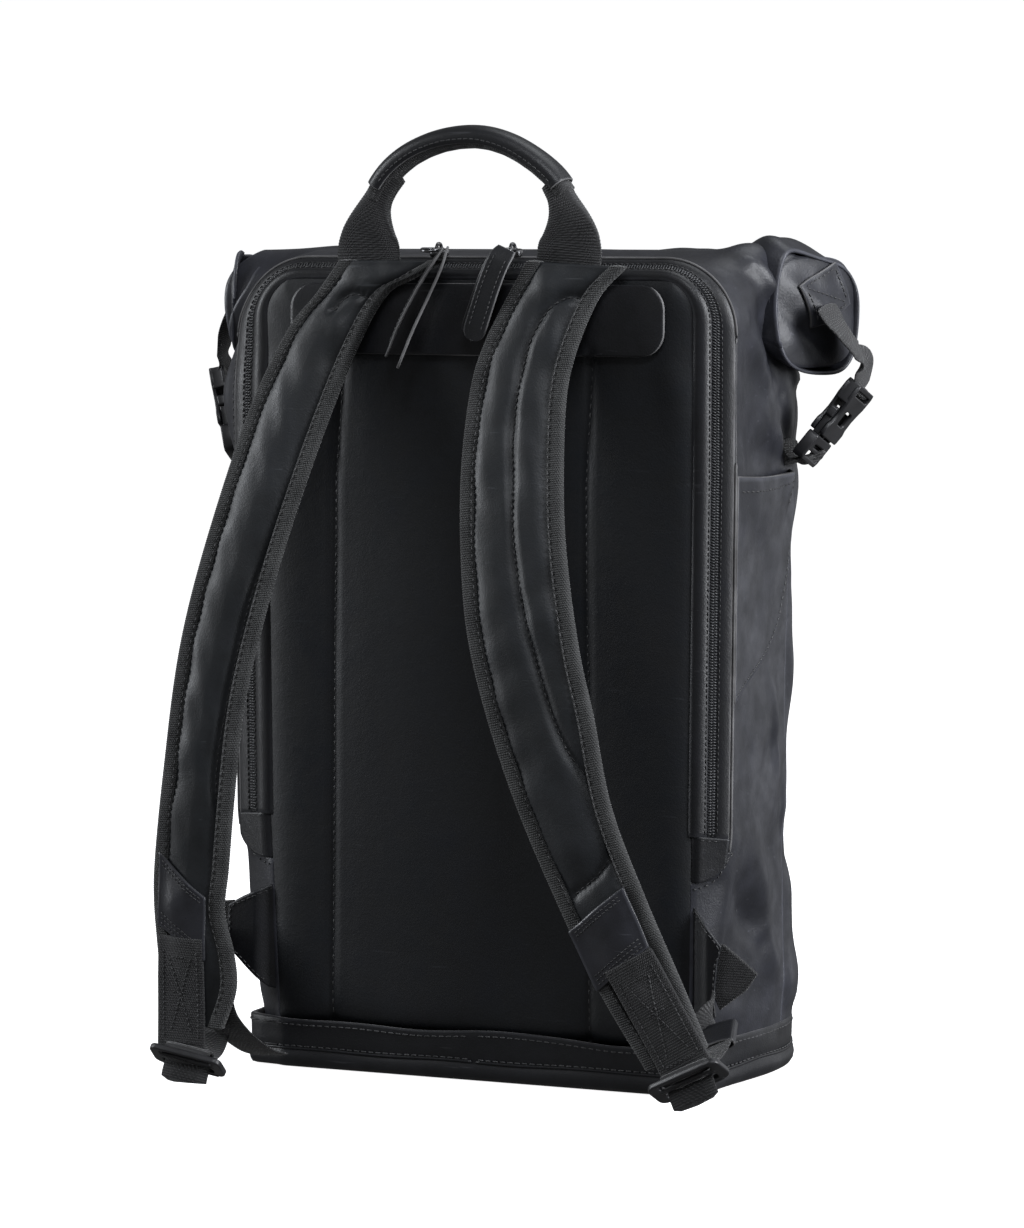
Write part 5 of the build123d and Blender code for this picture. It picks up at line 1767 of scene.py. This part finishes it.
def make_handle():
    """Carry handle: two webbing legs, a rolled core and a leather grip round it."""
    for side, points in LEGS.items():
        leg = leg_mesh(f"handle_leg_{side}", points)
        if side == "left":
            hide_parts("handle_webbing")
        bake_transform(leg)
    line = smooth_line(GRIP, 180)
    line = np.column_stack([line[:, 0], np.full(len(line), HANDLE_Y), line[:, 1]])
    _, side, normal = frames_along(line, (0, -1, 0))
    # side lies in the arch's own plane, outward points away from its centre
    outward = side * np.where(side[:, 2:3] > 0, 1, -1)
    steps = lengths(line)
    taper = ease(np.minimum(steps, steps[-1] - steps) / 16)
    under = []
    angle = np.arange(36) / 36 * TAU
    u, v = oval(angle, 2.5, 2.5)
    for k in range(len(line)):
        rib = 0.12 * math.sin(steps[k] / WEB_RIB * TAU)
        wide, tall = 8.2 + 0.6 * taper[k] + rib, 5.2 + 0.6 * taper[k] + rib
        under.append(line[k] + normal[k] * (u * wide)[:, None] + outward[k] * (v * tall)[:, None])
    core = loft_mesh("handle_underside", under, WEBBING)
    lay_weave(core, angle / TAU * 46, steps)
    settle(core, "handle", "webbing", "handle_core")
    # the leather goes round the top of the core and leaves a strip of its underside bare
    cover_span = slice(9, 174)
    u, v = oval(np.radians(np.linspace(-22, 202, 40)), 2.4, 2.2)
    cover = []
    for k in range(len(line))[cover_span]:
        tall = 6.9 + 0.105 * math.sin(steps[k] / 9.0)
        cover.append(line[k] + normal[k] * (u * 10.3)[:, None] + outward[k] * (v * tall)[:, None])
    cover = np.array(cover)
    normals = unit(cover - line[cover_span][:, None])
    grip = sheet_mesh("handle_grip_leather", cover, 1.5, EDGE, RAW, normals=normals, edge_wear=0.6)
    settle(grip, "handle", "edge_leather", "handle_grip")
    cloth(cover)
    runs = [(cover[4:-4, column] + normals[4:-4, column] * 0.1, normals[4:-4, column]) for column in (3, -4)]
    sew("handle_grip_stitches", runs, "handle", "edge_leather", pitch=3.4, length=2.4, radius=0.36)


make_handle()


# ---- zip sliders and pull tabs -------------------------------------------------------------------
PULL_X = {"left": -26.0, "right": 18.0}
# the two leather layers of each pull tab: points along them, x from the slider, and the direction across
PULL_LAYERS = {
    "right": [([(3.5, -79.5, 458.5), (0.5, -83.5, 452), (-4, -85.5, 440), (-9, -87, 424), (-13.5, -88, 409)],
               (0.95, 0, -0.30)),
              ([(2.0, -79.0, 457.6), (-1.2, -82.4, 451), (-5.8, -83.8, 440), (-11.2, -85, 424),
                (-15.8, -85.6, 411)], (0.95, 0, -0.30))],
    "left": [([(9, -79.5, 458.0), (5, -84, 450), (-3, -87, 436), (-12, -89.5, 418), (-19, -91.5, 400)],
              (-0.40, 0.91, 0.10)),
             ([(12, -79.5, 457.5), (11, -85, 448), (6, -89, 434), (-2, -93, 415), (-10, -96, 394)],
              (-0.37, 0.92, 0.12))],
}


def tab_sheet(name, line, across, width, thick):
    """A narrow leather strip along a line, its far end round, and the grid and normals of its points."""
    line = smooth_line(line, 90)
    tangent = unit(np.gradient(line, axis=0))
    across = np.asarray(across, float)
    across = unit(across - tangent * (tangent @ across)[:, None])
    steps = lengths(line)
    half = width / 2
    reach = np.clip(steps[-1] - steps, 0, half)
    wide = np.sqrt(np.maximum(half**2 - (half - reach) ** 2, 0.05))
    gone = np.clip(half - steps, 0, half) * 0.55
    wide = np.minimum(wide, np.sqrt(np.maximum(half**2 - gone**2, 0.05)))
    grid = line[:, None] + across[:, None] * (wide[:, None] * np.linspace(-1, 1, 16)[None])[..., None]
    normals = unit(np.cross(across, tangent))
    normals = normals * np.where(normals[:, 1:2] > 0, -1, 1)
    normals = np.repeat(normals[:, None], grid.shape[1], 1)
    tab = sheet_mesh(name, grid + normals * thick / 2, thick, EDGE, RAW, normals=normals, edge_wear=0.8)
    return tab, grid, normals


def make_pull(side):
    """Zip slider with its bridge, the wire ring through it, and the leather tab that hangs from the ring."""
    x = PULL_X[side]
    plate = moulded(f"slider_body_{side}", [rounded(10.5, 8.0, 3.0)], 3.6, (x, -62.5, 456.2), (1, 0, 0),
                    (0, 1, 0.25), METAL, radius=0.9)
    bridge = smooth_line([(x, -59.5, 457.5), (x, -61, 460.6), (x, -64.5, 461.0), (x, -66.8, 458.6)], 30)
    arch = tube_mesh(f"slider_bridge_{side}", bridge, 1.0, METAL, up=(1, 0, 0))
    settle(joined(f"zip_slider_body_{side}", [plate, arch]), f"slider_{side}", "zip_metal",
           f"zip_slider_{side}")
    # ring: a flattened wire loop that hangs forward over the panel's edge
    turn = np.linspace(0, TAU, 60)
    loop = np.stack([x + 5.4 * np.cos(turn), -72.2 - 7.4 * np.sin(turn),
                     458.4 - 1.2 * np.sin(turn) ** 2 * (np.sin(turn) > 0)], 1)
    angle = np.arange(8) / 8 * TAU
    tangent = unit(np.gradient(loop, axis=0))
    tangent[0] = tangent[-1] = unit(loop[1] - loop[-2])
    side_way = unit(np.cross(tangent, [0, 0, 1.0]))
    up_way = np.cross(side_way, tangent)
    rings = loop[:, None] + 0.85 * (np.cos(angle)[None, :, None] * side_way[:, None]
                                    + np.sin(angle)[None, :, None] * up_way[:, None])
    ring = loft_mesh(f"pull_ring_wire_{side}", rings, METAL, caps=False)
    settle(ring, f"pull_{side}", "zip_metal", f"pull_ring_{side}")
    for k, (line, across) in enumerate(PULL_LAYERS[side]):
        line = np.array(line) + [x, 0, 0]
        tab, grid, normals = tab_sheet(f"pull_layer_{side}_{k}", line, across, 12.5, 1.5)
        settle(tab, f"pull_{side}", "edge_leather", *([f"pull_tab_{side}"] if k == 0 else []))
        cloth(grid)
        if k == 0:
            runs = [(grid[10:-10, column] + normals[10:-10, column] * 0.85, normals[10:-10, column])
                    for column in (3, -4)]
    sew(f"pull_stitches_{side}", runs, f"pull_{side}", "edge_leather", pitch=2.9, length=2.0, radius=0.3)


for side in SIDES:
    make_pull(side)


# ---- side release buckles ------------------------------------------------------------------------
# each buckle's middle, its direction across and its direction up
BUCKLES = {
    "left": ((-200, 27, 352), (-0.24, 0.90, -0.36), (-0.30, 0.25, 0.92)),
    "right": ((165.5, 24, 355.5), (-0.10, 0.96, -0.25), (0.575, 0.252, 0.778)),
}
BUCKLE_SCALE = 0.92
WEB_HOLE, WEB_WIDTH = 13, 25


def buckle_frame(side):
    """A buckle's middle, and its directions across, up and out of its face."""
    origin, across, up = (np.array(v, float) for v in BUCKLES[side])
    up = unit(up)
    across = unit(across - up * (across @ up))
    face = unit(np.cross(across, up))
    return origin, across, up, face


def make_buckle(side):
    """Side release buckle: the half on the roll, and the half on the bag."""
    origin, across, up, face = buckle_frame(side)
    size = BUCKLE_SCALE

    def place(u, v, w=0.0):
        return origin + (across * u + up * v + face * w) * size

    def plate(name, loops, thick, at, radius):
        scaled = [[(u * size, v * size) for u, v in loop] for loop in loops]
        return moulded(name, scaled, thick * size, at, across, up, PLASTIC, radius=radius)

    # female half: a housing with open sides, a window, and a bar for the webbing
    half = [(15.5, 0.6), (16.3, 2.5), (16.3, 8), (14.2, 11), (13.4, 17), (14.6, 23), (16, 27), (16.3, 35),
            (14.8, 38.2)]
    outline_female = [(-15.5, 0.6)] + half + [(-u, v) for u, v in half[:0:-1]]
    slot_hole = rounded(26.5, 4.0, 1.2, (0, 33))[::-1]
    window = rounded(13, 9.5, 2.2, (0, 16))[::-1]
    shells = [plate(f"female_shell_{side}_{k}", [outline_female, slot_hole, window], 2.6, place(0, 0, w), 0.7)
              for k, w in enumerate((-3.7, 3.7))]
    shells += [plate(f"female_wall_{side}_{k}", [rounded(2.6, 14, 1.0, (0, 31))], 8.0, place(u, 0), 0.6)
               for k, u in enumerate((-14.6, 14.6))]
    shells.append(plate(f"female_block_{side}", [rounded(28, 6, 1.2, (0, 26.5))], 8.6, place(0, 0), 0.7))
    shells.append(plate(f"female_rim_{side}", [rounded(30, 3.2, 1.2, (0, 36.6))], 8.6, place(0, 0), 0.8))
    settle(joined(f"female_buckle_body_{side}", shells), f"buckle_{side}", "buckle_plastic",
           f"female_buckle_{side}")
    # male half: base with a webbing slot and a second bar, three prongs and two catches
    base = [(-15.6, -0.6), (-16.4, -2.5), (-16.4, -15), (-14.6, -18), (14.6, -18), (16.4, -15), (16.4, -2.5),
            (15.6, -0.6)]
    holes = [rounded(26.5, 3.8, 1.2, (0, -WEB_HOLE))[::-1], rounded(20, 2.2, 0.8, (0, -7.2))[::-1]]
    parts = [plate(f"male_base_{side}", [base] + holes, 7.6, origin, 0.9)]
    prongs = [(-12.6, 4.0, 21, 4.4), (12.6, 4.0, 21, 4.4), (0, 4.2, 18, 3.4)]
    for k, (u, wide, tall, thick) in enumerate(prongs):
        outline = rounded(wide, tall, 1.6, (u, tall / 2 - 1.5))
        parts.append(plate(f"male_prong_{side}_{k}", [outline], thick, origin, 0.7))
    parts += [plate(f"male_catch_{side}_{k}", [rounded(3.6, 7.0, 1.5, (u, 15.5))], 5.0, origin, 0.8)
              for k, u in enumerate((-15.0, 15.0))]
    settle(joined(f"male_buckle_body_{side}", parts), "bag", "buckle_plastic", f"male_buckle_{side}")


for side in SIDES:
    make_buckle(side)


# webbing from the roll's end down to the buckle: its points before the last, and the direction across it
ROLL_STRAP = {
    "right": ([(171, 16, 426), (176, 17, 418), (181, 19, 411), (186, 23, 403), (188.5, 28, 396)],
              (0.35, 0.86, -0.36)),
    "left": ([(-186, 26, 430), (-196, 28, 420), (-203, 30, 409), (-206.5, 32, 398), (-207.5, 34, 390)],
             (-0.24, 0.90, -0.36)),
}


def make_roll_strap(side):
    """Webbing from the roll's end to its buckle, and the loop that holds the buckle."""
    origin, across, up, face = buckle_frame(side)
    points, start = ROLL_STRAP[side]
    hang = origin + up * 33 * BUCKLE_SCALE
    path = smooth_line(points + [tuple(hang + up * 4.0)], 120)
    share = ease(np.linspace(0, 1, len(path)))[:, None]
    _, guide, normal = guided(path, unit(np.array(start)), across, share)
    steps = lengths(path)
    rings = band_rings(path, guide, normal, WEB_WIDTH, ribbed(steps))
    obj = webbing_mesh(f"roll_strap_{side}", rings, steps, WEB_WIDTH / 2)
    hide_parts(f"roll_webbing_{side}", f"buckle_webbing_{side}")
    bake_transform(obj)
    turn = np.linspace(0.5 * math.pi, 1.9 * math.pi, 34)
    loop = np.array([hang + up * (2.1 + 2.4 * math.sin(a)) + face * 2.5 * math.cos(a) for a in turn])
    outward = unit(np.cross(np.gradient(loop, axis=0), across))
    rings = band_rings(loop, np.repeat(across[None], len(loop), 0), outward, WEB_WIDTH, 1.6)
    wrap = loft_mesh(f"buckle_loop_{side}", rings, WEBBING)
    settle(wrap, f"buckle_{side}", "webbing")


for side in SIDES:
    make_roll_strap(side)

# webbing from the side seam out to the buckle's other half, without its last point
ANCHOR = {
    "right": [(146.4, 24, 352), (148.5, 24, 345.5), (151, 24, 341.8), (154.5, 24, 342.2)],
    "left": [(-146.4, 24, 352), (-152, 24, 345.5), (-164, 24, 340.5), (-180, 24, 337)],
}


def make_anchor(side):
    """Webbing that ties the buckle's other half to the side seam."""
    origin, across, up, _ = buckle_frame(side)
    hook = origin - up * WEB_HOLE * BUCKLE_SCALE
    path = smooth_line(ANCHOR[side] + [tuple(hook - up * 2.6)], 90)
    share = ease(np.linspace(0, 1, len(path)))[:, None]
    _, guide, normal = guided(path, np.array([0, 1.0, 0]), across, share)
    rings = band_rings(path, guide, normal, WEB_WIDTH, WEB_THICK)
    strip = webbing_mesh(f"anchor_strap_{side}", rings, lengths(path), WEB_WIDTH / 2)
    settle(strip, "bag", "webbing", f"anchor_webbing_{side}")


for side in SIDES:
    make_anchor(side)

# ---- what shows of the CAD itself ----------------------------------------------------------------
for node, material in (("divider_panel", LINING), ("base_board", BOARD)):
    obj = frame["nodes"][node]
    obj.data.materials.clear()
    obj.data.materials.append(material)
